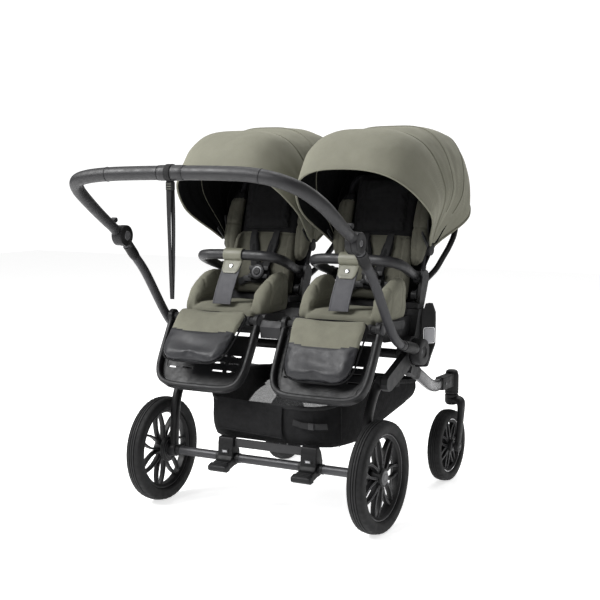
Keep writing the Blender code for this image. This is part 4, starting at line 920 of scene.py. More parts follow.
for name, width, mat in (("axle_beam", 0.0, "frame_grey"), ("cross_bar", 0.0, "frame_black"), ("brake_link_bar", 0.0014, "frame_black"),
                         ("centre_post", 0.0022, "plastic_black")):
    modifier_bevel(name, width or 0.0004, 2 if width else 1, mat)
bm = bmesh.new()
add_sweep(bm, [P(-0.2916, 0, REAR_R), P(-0.1, 0, REAR_R), P(0.1, 0, REAR_R), P(0.2916, 0, REAR_R)], 0.0126, sides=48, across=(0, 1, 0))
for x in (-0.285, -0.086, 0.114, 0.176, -0.148, 0.285):
    add_sweep(bm, [P(x - 0.0060, 0, REAR_R), P(x - 0.0052, 0, REAR_R), P(x + 0.0052, 0, REAR_R), P(x + 0.0060, 0, REAR_R)], [0.0130, 0.0140, 0.0140, 0.0130], sides=48,
              across=(0, 1, 0), mat=1)
piece(bm, "axle_tube", ["frame_grey", "plastic_black"], "rear_frame", "axle_beam")
bm = bmesh.new()
add_sweep(bm, [P(-0.3014, 0.215, 0.440), P(-0.1, 0.215, 0.440), P(0.1, 0.215, 0.440), P(0.3014, 0.215, 0.440)], 0.0131, sides=48, across=(0, 1, 0))
piece(bm, "cross_tube", ["frame_black"], "chassis", "cross_bar")
for side, s in SIDES:
    modifier_bevel(f"hub_{side}", 0.0026, 3, "plastic_black")


# ================================================================ seat units
def template(bm, name, mats):
    """A loose mesh for one seat, centred on X = 0; copies of it are placed on both seats."""
    bmesh.ops.recalc_face_normals(bm, faces=bm.faces)
    mesh = bpy.data.meshes.new(name)
    bm.to_mesh(mesh)
    bm.free()
    obj = bpy.data.objects.new(name, mesh)
    bpy.context.scene.collection.objects.link(obj)
    for m in mats:
        mesh.materials.append(MAT[m])
    return obj


def copy_to(source, name, matrix, body, stands_for, subsurf=1, sharp=None):
    mesh = source.data.copy()
    mesh.transform(matrix)
    obj = bpy.data.objects.new(name, mesh)
    bpy.context.scene.collection.objects.link(obj)
    smooth_shade(obj, subsurf)
    if sharp:
        mesh.set_sharp_from_angle(angle=math.radians(sharp))
    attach(obj, body)
    if stands_for:
        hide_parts(*([stands_for] if isinstance(stands_for, str) else stands_for))
    return obj


def drop(obj):
    mesh = obj.data
    bpy.data.objects.remove(obj, do_unlink=True)
    bpy.data.meshes.remove(mesh)


def add_loft(bm, rows, mat=0):
    rings = [[bm.verts.new(p) for p in row] for row in rows]
    add_faces(bm, rings, mat=mat)


def rounded_rect(hw, hh, power=4.0, count=28):
    out = []
    for k in range(count):
        t = 2 * math.pi * (k + 0.5) / count
        c, s = math.cos(t), math.sin(t)
        out.append((hw * math.copysign(abs(c) ** (2 / power), c), hh * math.copysign(abs(s) ** (2 / power), s)))
    return out


def seam_sink(obj, curves):
    """Sinks sewn lines into a finished cushion. curves: [(function(points) -> distance, width, depth)]."""
    co = points_of(obj)
    normals = np.zeros(len(co) * 3, np.float32)
    obj.data.vertices.foreach_get("normal", normals)
    normals = normals.reshape(-1, 3)
    sink = np.zeros(len(co))
    for distance, width, depth in curves:
        sink = np.maximum(sink, groove(co, distance(co), width, depth))
    set_points(obj, co - normals * sink[:, None])


# ---- seat cushion with its side bolsters
bm = bmesh.new()
rows = []
for y, z0, z1, hw in ((0.066, 0.5300, 0.5520, 0.099), (0.072, 0.5272, 0.5590, 0.1015), (0.100, 0.5265, 0.5625, 0.1020), (0.160, 0.5265, 0.5610, 0.1015),
                      (0.220, 0.5265, 0.5600, 0.1010), (0.250, 0.5275, 0.5580, 0.1000), (0.2585, 0.5310, 0.5530, 0.098)):
    rows.append([P(u, y, (z0 + z1) / 2 + v) for u, v in rounded_rect(hw, (z1 - z0) / 2, 5.0)])
add_loft(bm, rows)
for s in (-1, 1):
    rows = []
    for y, uc, z0, z1, hu in ((0.072, 0.106, 0.5450, 0.5620, 0.0095), (0.079, 0.1105, 0.5400, 0.5800, 0.0165), (0.098, 0.1130, 0.5380, 0.6060, 0.0195),
                              (0.130, 0.1145, 0.5380, 0.6300, 0.0205), (0.165, 0.1145, 0.5380, 0.6470, 0.0205), (0.200, 0.1135, 0.5380, 0.6540, 0.0195),
                              (0.225, 0.1115, 0.5400, 0.6500, 0.0170), (0.238, 0.1085, 0.5480, 0.6390, 0.0110)):
        lean = 0.0040
        rows.append([P(s * (uc - lean * v / ((z1 - z0) / 2)) + u, y, (z0 + z1) / 2 + v) for u, v in rounded_rect(hu, (z1 - z0) / 2, 2.8)])
    add_loft(bm, rows)
seat_pad = template(bm, "seat_pad_source", ["olive_fabric"])
inflate(seat_pad, voxel=0.0050, pressure=4.0, cap=0.0055,
        pins=lambda c: np.clip((0.532 - c[:, 2]) / 0.004, 0, 1))
seam_sink(seat_pad, [
    (lambda c: np.where(c[:, 2] > 0.556, np.abs(np.abs(c[:, 0]) - 0.0905) + np.clip(c[:, 2] - 0.585, 0, 1), 1.0), 0.0032, 0.0040),
    (lambda c: np.where((np.abs(c[:, 0]) > 0.090) & (c[:, 2] > 0.560), np.abs(c[:, 1] - (0.128 + AXLE_Y) - 0.35 * (c[:, 2] - 0.60)), 1.0), 0.0030, 0.0030),
    (lambda c: np.where((np.abs(c[:, 0]) > 0.090) & (c[:, 2] > 0.560), np.abs(c[:, 1] - (0.188 + AXLE_Y) - 0.20 * (c[:, 2] - 0.60)), 1.0), 0.0030, 0.0026),
    (lambda c: np.where((c[:, 2] > 0.552) & (np.abs(c[:, 0]) < 0.088), np.abs(c[:, 1] - (0.168 + AXLE_Y)), 1.0), 0.0030, 0.0016),
])
co = points_of(seat_pad)
wob = np.array([noise.noise(Vector((a_ * 24, b_ * 24, c_ * 24))) for a_, b_, c_ in co])
co[:, 0] += 0.0020 * wob * np.sign(co[:, 0]) * np.clip((co[:, 2] - 0.560) / 0.02, 0, 1)
set_points(seat_pad, co)

# ---- back cushion: panel, wings and head part
def B(u, t, n):
    return P(*back(u, t, n))


bm = bmesh.new()
rows = []
for t, hw, n0, n1 in ((0.006, 0.094, -0.034, -0.008), (0.014, 0.098, -0.0355, -0.003), (0.060, 0.1005, -0.036, -0.001), (0.120, 0.1005, -0.036, -0.001),
                      (0.175, 0.1005, -0.036, -0.002), (0.190, 0.0995, -0.036, -0.004), (0.240, 0.0990, -0.0355, -0.0010), (0.320, 0.0990, -0.0355, -0.0010),
                      (0.365, 0.0950, -0.0350, -0.003), (0.380, 0.0860, -0.033, -0.010)):
    rows.append([B(u, t, (n0 + n1) / 2 + v) for u, v in rounded_rect(hw, (n1 - n0) / 2, 4.5)])
add_loft(bm, rows)
for s in (-1, 1):
    rows = []
    for t, uc, nc, hu, hn in ((0.008, 0.090, 0.000, 0.008, 0.010), (0.018, 0.0935, 0.004, 0.0115, 0.0155), (0.060, 0.0950, 0.006, 0.0120, 0.0180),
                              (0.110, 0.0950, 0.006, 0.0120, 0.0180), (0.160, 0.0945, 0.004, 0.0115, 0.0165), (0.184, 0.0935, 0.000, 0.0100, 0.0120),
                              (0.192, 0.092, -0.004, 0.006, 0.007)):
        rows.append([B(s * uc + u, t, nc + v) for u, v in rounded_rect(hu, hn, 2.5)])
    add_loft(bm, rows)
back_pad = template(bm, "back_pad_source", ["olive_painted_shade", "black_fabric"])
inflate(back_pad, voxel=0.0052, pressure=4.0, cap=0.0050)


def back_frame_coords(c):
    a = math.radians(BACK_ANGLE)
    y, z = c[:, 1] - (BACK_Y + AXLE_Y), c[:, 2] - BACK_Z
    return c[:, 0], math.sin(a) * y + math.cos(a) * z, -math.cos(a) * y + math.sin(a) * z


def only(mask, value):
    return np.where(mask, value, 1.0)


def back_lines(c):
    u, t, n = back_frame_coords(c)
    lines = only((n > -0.008) & (t < 0.19), np.abs(np.abs(u) - 0.0790))
    lines = np.minimum(lines, only(n > -0.012, np.abs(t - 0.1925 + 0.006 * (u / 0.09) ** 2)))
    return np.minimum(lines, only((n > -0.012) & (np.abs(u) < 0.08), np.abs(t - 0.120 - 0.010 * (u / 0.08) ** 2)))


seam_sink(back_pad, [(back_lines, 0.0030, 0.0032)])
# painted shade: the lower panel takes the darkened olive and the head part above t = 0.19 takes black fabric, for the
# canopy's shadow
for poly in back_pad.data.polygons:
    t_here = back_frame_coords(np.array([poly.center[:]]))[1][0]
    poly.material_index = 1 if t_here > 0.1915 else 0

# ---- soft side wings of the backrest
bm = bmesh.new()
for s in (-1, 1):
    rows = []
    for t, uc, nc, hu, hn in ((0.112, 0.110, -0.012, 0.009, 0.009), (0.124, 0.117, -0.008, 0.018, 0.015), (0.170, 0.1235, -0.004, 0.0245, 0.0195),
                              (0.230, 0.1240, -0.004, 0.0250, 0.0195), (0.285, 0.1215, -0.008, 0.0225, 0.0165), (0.318, 0.114, -0.014, 0.012, 0.010)):
        rows.append([B(s * uc + u, t, nc + v) for u, v in rounded_rect(hu, hn, 2.6)])
    add_loft(bm, rows)
wing_pad = template(bm, "wing_pad_source", ["olive_painted_shade", "black_fabric"])
inflate(wing_pad, voxel=0.0048, pressure=4.0, cap=0.0045)


def wing_lines(c):
    u, t, n = back_frame_coords(c)
    return only(n > -0.012, np.minimum(np.abs(np.abs(u) - 0.1225), np.abs(t - 0.215)))


seam_sink(wing_pad, [(wing_lines, 0.0032, 0.0034)])
# painted shade: the wings' upper ends above t = 0.295 take black fabric and the rest the darkened olive, for the
# canopy's shadow
for poly in wing_pad.data.polygons:
    poly.material_index = 1 if back_frame_coords(np.array([poly.center[:]]))[1][0] > 0.295 else 0

# ---- seat shell: front apron, side skirts and the curved panel under the backrest
bm = bmesh.new()
add_prism(bm, [(0.0620, 0.532), (0.0600, 0.515), (0.0615, 0.500), (0.0665, 0.489), (0.0690, 0.4895), (0.0645, 0.501), (0.0630, 0.515), (0.0650, 0.532)],
          -0.1290, 0.1290, 0, 0.0006, 2)
add_prism(bm, [(0.240, 0.5345), (0.262, 0.540), (0.285, 0.556), (0.302, 0.578), (0.300, 0.580), (0.283, 0.559), (0.261, 0.5425), (0.240, 0.537)],
          -0.1180, 0.1180, 0, 0.0005, 2)
for s in (-1, 1):
    add_prism(bm, [(0.062, 0.496), (0.090, 0.487), (0.150, 0.483), (0.230, 0.484), (0.290, 0.496), (0.302, 0.520), (0.296, 0.546), (0.070, 0.540)],
              min(s * 0.1262, s * 0.1292), max(s * 0.1262, s * 0.1292), 0, 0.0008, 2)
seat_shell = template(bm, "seat_shell_source", ["plastic_black"])

# ---- head pillow
bm = bmesh.new()
rows = []
for t, hw, n0, n1 in ((0.200, 0.070, 0.000, 0.010), (0.208, 0.076, -0.003, 0.013), (0.250, 0.0800, -0.004, 0.0155), (0.310, 0.0800, -0.004, 0.0155),
                      (0.348, 0.0750, -0.003, 0.013), (0.356, 0.068, 0.000, 0.010)):
    rows.append([B(u, t, (n0 + n1) / 2 + v) for u, v in rounded_rect(hw, (n1 - n0) / 2, 3.4)])
add_loft(bm, rows)
# the pillow is black fabric as painted shade, for the canopy's shadow over the head part
pillow = template(bm, "pillow_source", ["black_fabric"])
inflate(pillow, voxel=0.0048, pressure=4.0, cap=0.0060)


def pillow_lines(c):
    u, t, n = back_frame_coords(c)
    return only(n > 0.006, np.abs(np.abs(u) - 0.052 + 0.004 * ((t - 0.278) / 0.07) ** 2))


seam_sink(pillow, [(pillow_lines, 0.0028, 0.0022)])

# ---- calf pad, in its own (u, d, n) space
bm = bmesh.new()
rows = []
for d, hw, n0, n1 in ((-0.011, 0.096, 0.012, 0.021), (-0.008, 0.0985, 0.009, 0.0255), (0.004, 0.1005, 0.0065, 0.0275), (0.030, 0.1012, 0.0050, 0.0285),
                      (0.070, 0.1020, 0.0045, 0.0275), (0.105, 0.1015, 0.0045, 0.0265), (0.125, 0.0990, 0.0045, 0.0260), (0.140, 0.0945, 0.0050, 0.0250),
                      (0.151, 0.0880, 0.0050, 0.0235), (0.159, 0.0790, 0.0060, 0.0215), (0.1645, 0.0660, 0.0070, 0.0190), (0.1668, 0.0520, 0.0085, 0.0165)):
    rows.append([Vector((u, d, (n0 + n1) / 2 + v)) for u, v in rounded_rect(hw, (n1 - n0) / 2, 4.2)])
add_loft(bm, rows)
calf = template(bm, "calf_pad_source", ["olive_fabric", "pad_leather"])
inflate(calf, voxel=0.0045, pressure=4.0, cap=0.0045, pins=lambda c: np.clip((0.008 - c[:, 2]) / 0.004, 0, 1) * 0.8)


def patch_edge(u):
    return 0.0640 + 0.0130 * (1 - np.clip(np.abs(u) / 0.1, 0, 1) ** 2)


co = points_of(calf)
u, d, n = co[:, 0], co[:, 1], co[:, 2]
lift = np.clip((d - patch_edge(u)) / 0.0035, 0, 1)
facing_out = np.clip((n - 0.012) / 0.006, 0, 1)
n = n + 0.0016 * lift * facing_out
dent = np.exp(-((d - 0.121 - 0.16 * u) / 0.020) ** 2 - ((u + 0.010) / 0.058) ** 2) * facing_out
swell = np.exp(-((d - 0.147) / 0.013) ** 2) * facing_out * np.clip((0.085 - np.abs(u)) / 0.03, 0, 1)
side_swell = np.exp(-((np.abs(u) - 0.078) / 0.014) ** 2) * facing_out * np.clip((d - 0.08) / 0.02, 0, 1)
n = n - 0.0042 * dent + 0.0026 * swell + 0.0018 * side_swell
n = n - 0.0012 * np.exp(-((d - patch_edge(u) + 0.0012) / 0.0018) ** 2) * facing_out
soft = np.array([noise.noise(Vector((a * 26, b * 26, 0.3))) for a, b in zip(u, d)])
n = n + 0.0012 * soft * facing_out
set_points(calf, np.stack([u * (1 + 0.085 * (1 - np.clip(d / 0.15, 0, 1))), d, n], 1))
for poly in calf.data.polygons:
    m = poly.center
    poly.material_index = 1 if m.y > float(patch_edge(np.array(m.x))) else 0


def knee_matrix(angle, X):
    """From (u, d, n) to the row frame."""
    along, out = turned(angle)
    return Matrix(((1, 0, 0, X), (0, along[0], out[0], KNEE_Y + AXLE_Y), (0, along[1], out[1], KNEE_Z), (0, 0, 0, 1)))


# calf pad trim: piping round the edge
bm = bmesh.new()
edge = []
for k in range(97):
    t = 2 * math.pi * k / 96
    c_, s_ = math.cos(t), math.sin(t)
    uu = 0.1040 * math.copysign(abs(c_) ** (2 / (4.6 if s_ > 0 else 9.0)), c_)
    dd = 0.0785 + 0.0900 * math.copysign(abs(s_) ** (2 / (3.6 if s_ > 0 else 8.0)), s_)
    edge.append(Vector((uu, dd, 0.0135)))
rings = []
for i, p in enumerate(edge[:-1]):
    tangent = (edge[(i + 1) % 96] - edge[i - 1]).normalized()
    side_ = tangent.cross(Vector((0, 0, 1)))
    rings.append([bm.verts.new(p + side_ * 0.0023 * math.cos(a) + Vector((0, 0, 0.0023 * math.sin(a)))) for a in [2 * math.pi * j / 12 for j in range(12)]])
add_faces(bm, rings, caps=False, loop=True)
for v in bm.verts:
    v.co.x *= 1 + 0.085 * (1 - min(1.0, max(0.0, v.co.y / 0.15)))
pad_trim = template(bm, "pad_trim_source", ["black_fabric"])

# ---- harness
bm = bmesh.new()
rows = []
for t, hw, n0, n1 in ((0.034, 0.022, 0.0035, 0.010), (0.038, 0.030, 0.0025, 0.0135), (0.052, 0.0365, 0.0020, 0.0150), (0.072, 0.0370, 0.0020, 0.0150),
                      (0.090, 0.0310, 0.0025, 0.0140), (0.097, 0.0220, 0.0040, 0.0105)):
    rows.append([B(u, t, (n0 + n1) / 2 + v) for u, v in rounded_rect(hw, (n1 - n0) / 2, 2.8, 24)])
add_loft(bm, rows)
for s in (-1, 1):
    pts = smooth_path([B(s * 0.0165, 0.084, 0.0085), B(s * 0.0235, 0.108, 0.0092), B(s * 0.031, 0.140, 0.0092), B(s * 0.0365, 0.170, 0.0085), B(s * 0.038, 0.192, 0.0060)], 5)
    rows = []
    for i, p in enumerate(pts):
        f = i / (len(pts) - 1)
        w = 0.0178 * (0.72 + 0.28 * min(1, math.sin(math.pi * min(1.0, f * 1.15 + 0.06)) * 1.5))
        h = 0.0052 * (0.7 + 0.3 * math.sin(math.pi * f))
        a = math.radians(BACK_ANGLE)
        out_ = Vector((0, -math.cos(a), math.sin(a)))
        rows.append([p + Vector((uu, 0, 0)) + out_ * vv for uu, vv in rounded_rect(w, h, 3.0, 20)])
    add_loft(bm, rows)
harness_pad = template(bm, "harness_source", ["black_fabric"])
inflate(harness_pad, voxel=0.0032, pressure=4.0, cap=0.0022, frames=12)

bm = bmesh.new()
a = math.radians(BACK_ANGLE)
OUT = Vector((0, -math.cos(a), math.sin(a)))
for s in (-1, 1):
    pts = smooth_path([B(s * 0.018, 0.056, 0.0120), B(s * 0.034, 0.049, 0.0092), B(s * 0.054, 0.043, 0.0062), B(s * 0.072, 0.0355, 0.0050)], 5)
    add_strap(bm, pts, 0.0220, 0.0018, OUT)
    pts = smooth_path([B(s * 0.0185, 0.078, 0.0155), B(s * 0.0265, 0.112, 0.0152), B(s * 0.033, 0.140, 0.0150), B(s * 0.0375, 0.172, 0.0135), B(s * 0.0385, 0.196, 0.0080)], 5)
    add_strap(bm, pts, 0.0200, 0.0014, OUT)
    # adjusters
    for t, u in ((0.118, 0.0285), (0.047, 0.040)):
        p = B(s * u, t, 0.0158 if t > 0.1 else 0.0100)
        ring_ = []
        made = bmesh.new()
        q = [made.verts.new(p + Vector((du, 0, 0)) + OUT * dn + Vector((0, math.sin(a), math.cos(a))) * dt)
             for du in (-0.0135, 0.0135) for dn in (-0.0015, 0.0026) for dt in (-0.0085, 0.0085)]
        for f in ((0, 1, 3, 2), (4, 6, 7, 5), (0, 4, 5, 1), (2, 3, 7, 6), (0, 2, 6, 4), (1, 5, 7, 3)):
            made.faces.new([q[i] for i in f])
        merge(bm, made, 1, 0.0012, 2)
harness_web = template(bm, "harness_web_source", ["webbing", "plastic_soft"])

# buckle: shell, ring and press button
bm = bmesh.new()
centre = B(0, 0.066, 0.0160)
add_lathe(bm, [(0, 0), (0.0205, 0), (0.0228, 0.0012), (0.0235, 0.0035), (0.0235, 0.0080), (0.0222, 0.0104), (0.0195, 0.0116), (0.0170, 0.0114), (0.0166, 0.0104),
               (0.0108, 0.0104), (0.0106, 0.0050), (0, 0.0050)], centre, OUT, segments=64, closed=False)
add_lathe(bm, [(0.0166, 0.0106), (0.0166, 0.0122), (0.0156, 0.0127), (0.0122, 0.0127), (0.0112, 0.0121), (0.0112, 0.0106)], centre, OUT, segments=64, mat=1)
for s in (-1, 1):
    for dt in (-0.012, 0.012):
        p = centre + Vector((s * 0.0235, 0, 0)) + OUT * 0.0045 + Vector((0, math.sin(a), math.cos(a))) * dt
        made = bmesh.new()
        q = [made.verts.new(p + Vector((du, 0, 0)) + OUT * dn + Vector((0, math.sin(a), math.cos(a))) * tt)
             for du in (-0.008, 0.010) for dn in (-0.0030, 0.0030) for tt in (-0.0062, 0.0062)]
        for f in ((0, 1, 3, 2), (4, 6, 7, 5), (0, 4, 5, 1), (2, 3, 7, 6), (0, 2, 6, 4), (1, 5, 7, 3)):
            made.faces.new([q[i] for i in f])
        merge(bm, made, 0, 0.0014, 2)
buckle_shell = template(bm, "buckle_source", ["plastic_black", "plastic_grey"])
bm = bmesh.new()
add_lathe(bm, [(0, 0.0085), (0.0100, 0.0085), (0.0102, 0.0118), (0.0094, 0.0134), (0.0060, 0.0140), (0.0036, 0.0136), (0, 0.0134)], centre, OUT, segments=56, closed=False)
buckle_press = template(bm, "buckle_press_source", ["plastic_soft"])

# ---- trays
def T(u, d, n):
    return Vector((u, d, n))


bm = bmesh.new()
half = [(0.142, 0.000, -0.003), (0.142, 0.030, -0.0045), (0.142, 0.060, -0.006), (0.1415, 0.110, -0.008), (0.138, 0.155, -0.010),
        (0.124, 0.186, -0.012), (0.095, 0.2005, -0.012), (0.050, 0.204, -0.011), (0.0, 0.2045, -0.010)]
route = smooth_path([T(-u, d, n) for u, d, n in half[:-1]] + [T(u, d, n) for u, d, n in half[::-1]], 7)
add_sweep(bm, route, 0.0130, 0.0074, sides=32, across=(0, 0, 1), square=0.62)
inner_route = smooth_path([T(-u * 0.925, d - (0.012 if d > 0.15 else 0), n - 0.0060) for u, d, n in half[1:-1]] +
                          [T(u * 0.925, d - (0.012 if d > 0.15 else 0), n - 0.0060) for u, d, n in half[:0:-1]], 7)
add_sweep(bm, inner_route, 0.0028, 0.0100, sides=20, across=(0, 0, 1), square=0.5)
for s in (-1, 1):
    for (r, x0, x1, m) in ((0.0190, 0.1345, 0.1485, 0), (0.0150, 0.1485, 0.1497, 1)):
        add_lathe(bm, [(0, x0 * s), (r - 0.0016, x0 * s), (r, (x0 + 0.0012) * s if x1 - x0 > 0.002 else x0 * s), (r, (x1 - 0.0016) * s if x1 - x0 > 0.002 else (x1 - 0.0004) * s),
                       (r - 0.0018, x1 * s), (0, x1 * s)], (0, 0, 0), (1, 0, 0), segments=56, closed=False, mat=m)
    add_lathe(bm, [(0, 0.1360 * s), (0.0165, 0.1360 * s), (0.0155, 0.1340 * s), (0.0090, 0.1332 * s), (0, 0.1332 * s)], (0, 0, 0), (1, 0, 0), segments=48, closed=False)
us = [-0.124, -0.112, -0.078, -0.066, -0.032, -0.020, 0.020, 0.032, 0.066, 0.078, 0.112, 0.124]
ds = [0.040, 0.100, 0.1055, 0.122, 0.1275, 0.146, 0.1515, 0.170, 0.196]
hollow = {(2, 1), (2, 3), (2, 7), (2, 9), (4, 1), (4, 3), (4, 7), (4, 9), (6, 1), (6, 3), (6, 7), (6, 9)}


def floor_n(d):
    return -0.0175 + (d - 0.040) / 0.160 * 0.0045


tops, lows = {}, {}
for i, d in enumerate(ds):
    for j, u in enumerate(us):
        w = u * (1 - (0.10 if d > 0.16 else 0.0))
        tops[i, j] = bm.verts.new(T(w, d, floor_n(d)))
        lows[i, j] = bm.verts.new(T(w, d, floor_n(d) - 0.0038))
cells = {(i, j) for i in range(len(ds) - 1) for j in range(len(us) - 1)} - {(i - 1 + 0, j) for i, j in hollow}
for i, j in cells:
    bm.faces.new((tops[i, j], tops[i + 1, j], tops[i + 1, j + 1], tops[i, j + 1]))
    bm.faces.new((lows[i, j], lows[i, j + 1], lows[i + 1, j + 1], lows[i + 1, j]))
    for (a0, a1), (b0, b1), other in (((i, j), (i, j + 1), (i - 1, j)), ((i + 1, j), (i + 1, j + 1), (i + 1, j)), ((i, j), (i + 1, j), (i, j - 1)),
                                      ((i, j + 1), (i + 1, j + 1), (i, j + 1))):
        if other not in cells:
            bm.faces.new((tops[a0, a1], tops[b0, b1], lows[b0, b1], lows[a0, a1]))
# a slim bright strip under the front edge
strip = smooth_path([T(-0.118, 0.196, -0.0225), T(-0.095, 0.2065, -0.0222), T(-0.050, 0.2105, -0.0212), T(0, 0.2110, -0.0205), T(0.050, 0.2105, -0.0212),
                     T(0.095, 0.2065, -0.0222), T(0.118, 0.196, -0.0225)], 6)
add_sweep(bm, strip, 0.0011, 0.0022, sides=12, across=(0, 0, 1), mat=2)
bmesh.ops.remove_doubles(bm, verts=bm.verts, dist=1e-7)
tray_look = template(bm, "tray_source", ["plastic_soft", "plastic_grey", "frame_grey"])

# ---- bumper bar and its strap
bm = bmesh.new()
half = [(0.1300, BUMPER_Y, BUMPER_Z), (0.1302, 0.262, 0.658), (0.1325, 0.225, 0.671), (0.1330, 0.193, 0.683),
        (0.123, 0.164, 0.693), (0.098, 0.149, 0.698), (0.055, 0.1455, 0.700), (0.0, 0.145, 0.700)]
route = smooth_path([P(-u, y, z) for u, y, z in half[:-1]] + [P(u, y, z) for u, y, z in half[::-1]], 8)
high = spread([0.0100, 0.0108, 0.0132] + [0.0145] * 9 + [0.0132, 0.0108, 0.0100], 8)
wide_ = spread([0.0105, 0.0125, 0.0142] + [0.0145] * 9 + [0.0142, 0.0125, 0.0105], 8)
# long soft dents where the hands hold it
add_sweep(bm, route[5:-5], [w * (1 + 0.010 * math.sin(i * 0.9)) for i, w in enumerate(wide_[5:-5])], high[5:-5], sides=36, across=(0, 0.35, 0.93))
add_sweep(bm, route[:8], [w + 0.0006 for w in wide_[:8]], [h + 0.0006 for h in high[:8]], sides=32, across=(0, 0.35, 0.93), mat=1)
add_sweep(bm, route[-8:], [w + 0.0006 for w in wide_[-8:]], [h + 0.0006 for h in high[-8:]], sides=32, across=(0, 0.35, 0.93), mat=1)
for s in (-1, 1):
    add_lathe(bm, [(0, 0.1205 * s), (0.0130, 0.1205 * s), (0.0165, 0.1215 * s), (0.0180, 0.1235 * s), (0.0180, 0.1390 * s), (0.0165, 0.1408 * s), (0, 0.1408 * s)],
              P(0, BUMPER_Y, BUMPER_Z), (1, 0, 0), segments=56, closed=False, mat=1)
    add_lathe(bm, [(0.0105, 0.1203 * s), (0.0105, 0.1197 * s), (0.0095, 0.1192 * s), (0, 0.1192 * s)], P(0, BUMPER_Y, BUMPER_Z), (1, 0, 0), segments=40, closed=False, mat=2)
# points along the inner seam of the cover; no seam is built from them
seam_pts = [p + Vector((0, 0.0, -0.0147)) for p in route[40:-40]]
bumper_look = template(bm, "bumper_source", ["leatherette", "plastic_black", "plastic_grey"])

bm = bmesh.new()
wrap, faces_ = [], []
for k in range(22):
    t = math.radians(10 + 238 * k / 21)
    wrap.append(P(0, 0.145 + 0.0162 * math.cos(t), 0.700 + 0.0162 * math.sin(t)))
    faces_.append(Vector((0, math.cos(t), math.sin(t))))
lower = smooth_path([P(0, 0.1330, 0.6790), P(0, 0.1245, 0.662), P(0, 0.1035, 0.630), P(0, 0.0850, 0.598), P(0, 0.0745, 0.5735), P(0, 0.0715, 0.5655)], 6)
for i, p in enumerate(lower):
    q = lower[min(i + 1, len(lower) - 1)] - lower[max(i - 1, 0)]
    q = q.normalized()
    faces_.append(Vector((0, q.z, -q.y)))
wrap += lower
add_strap(bm, wrap, [0.0600] * len(wrap), 0.0028, faces_)
# hems along both edges
for s in (-1, 1):
    shift = [p + Vector((s * 0.0272, 0, 0)) + f.normalized() * 0.0016 for p, f in zip(wrap[20:], faces_[20:])]
    add_strap(bm, shift, 0.0042, 0.0009, faces_[20:])
strap_look = template(bm, "bumper_strap_source", ["strap_grey"])

bm = bmesh.new()
tab_pts, tab_faces = [], []
for k in range(20):
    t = math.radians(70 + 166 * k / 19)
    tab_pts.append(P(0, 0.145 + 0.0184 * math.cos(t), 0.700 + 0.0184 * math.sin(t)))
    tab_faces.append(Vector((0, math.cos(t), math.sin(t))))
for y, z in ((0.1306, 0.6790), (0.1255, 0.6705), (0.1205, 0.6625), (0.1160, 0.6555), (0.1125, 0.6500)):
    tab_pts.append(P(0, y, z))
    tab_faces.append(Vector((0, -0.84, 0.54)))
n_ = len(tab_pts)
widths = [0.0600] * (n_ - 4) + [0.0590, 0.0560, 0.0500, 0.0380]
add_strap(bm, tab_pts, widths, 0.0024, tab_faces)
tab_look = template(bm, "strap_tab_source", ["olive_leather"])
bm = bmesh.new()
face_dir = Vector((0, -0.84, 0.54)).normalized()
snap_at = P(0, 0.1235, 0.6690) + face_dir * 0.0010
add_lathe(bm, [(0, 0), (0.0066, 0), (0.0068, 0.0010), (0.0058, 0.0019), (0.0044, 0.0022), (0.0040, 0.0017), (0.0028, 0.0017), (0, 0.0023)], snap_at, face_dir, segments=40,
          closed=False)
down = Vector((0, -0.54, -0.84))
for s in (-1, 1):
    for k in range(11):
        p = P(0, 0.1330, 0.6838) + down * (0.0032 * k) + Vector((s * 0.0262, 0, 0)) + face_dir * 0.0022
        add_sweep(bm, [p, p + down * 0.0009, p + down * 0.0021], [0.00035, 0.0005, 0.00035], sides=6, across=(1, 0, 0), mat=1)
for k in range(-6, 7):
    p = P(0, 0.1170, 0.6570) + Vector((0.0034 * k, 0, 0)) + face_dir * 0.0020 + down * (-0.0022 * (abs(k) / 6) ** 3)
    add_sweep(bm, [p - Vector((0.001, 0, 0)), p, p + Vector((0.001, 0, 0))], [0.00035, 0.0005, 0.00035], sides=6, across=(0, 1, 0), mat=1)
snap_look = template(bm, "snap_source", ["chrome", "thread"])

# ---- back frame with its loop
bm = bmesh.new()


def rail_point(u, t, n=-0.036):
    return (u, *back(u, t, n)[1:])


half = [(0.128, 0.288, 0.5955), (0.128, 0.306, 0.6040), rail_point(0.128, 0.060), rail_point(0.128, 0.140), rail_point(0.128, 0.240),
        rail_point(0.127, 0.330), rail_point(0.119, 0.362, -0.040), rail_point(0.095, 0.3755, -0.0455), rail_point(0.0, 0.3765, -0.0455)]
route = smooth_path([P(-u, y, z) for u, y, z in half[:-1]] + [P(u, y, z) for u, y, z in half[::-1]], 6)
add_sweep(bm, route, spread([0.0085] * 6 + [0.0075, 0.0065, 0.0065, 0.0065, 0.0075] + [0.0085] * 6, 6), sides=24, across=(0, -0.9613, 0.2756), mat=1)
half = [(0.129, 0.306, 0.6045), (0.1315, 0.340, 0.6300), (0.1430, 0.390, 0.6600), (0.1435, 0.440, 0.6900), (0.1435, 0.490, 0.7220),
        (0.1420, 0.530, 0.7560), (0.1320, 0.558, 0.7900), (0.100, 0.572, 0.812), (0.050, 0.577, 0.820), (0.0, 0.578, 0.822)]
route = smooth_path([P(-u, y, z) for u, y, z in half[:-1]] + [P(u, y, z) for u, y, z in half[::-1]], 7)
add_sweep(bm, route, 0.0082, sides=28, across=(0, -0.55, 0.84))
add_sweep(bm, [P(-0.128, 0.3342, 0.6245), P(-0.04, 0.3342, 0.6245), P(0.04, 0.3342, 0.6245), P(0.128, 0.3342, 0.6245)], 0.0068, sides=24, across=(0, 1, 0))
board = bmesh.new()
pts = []
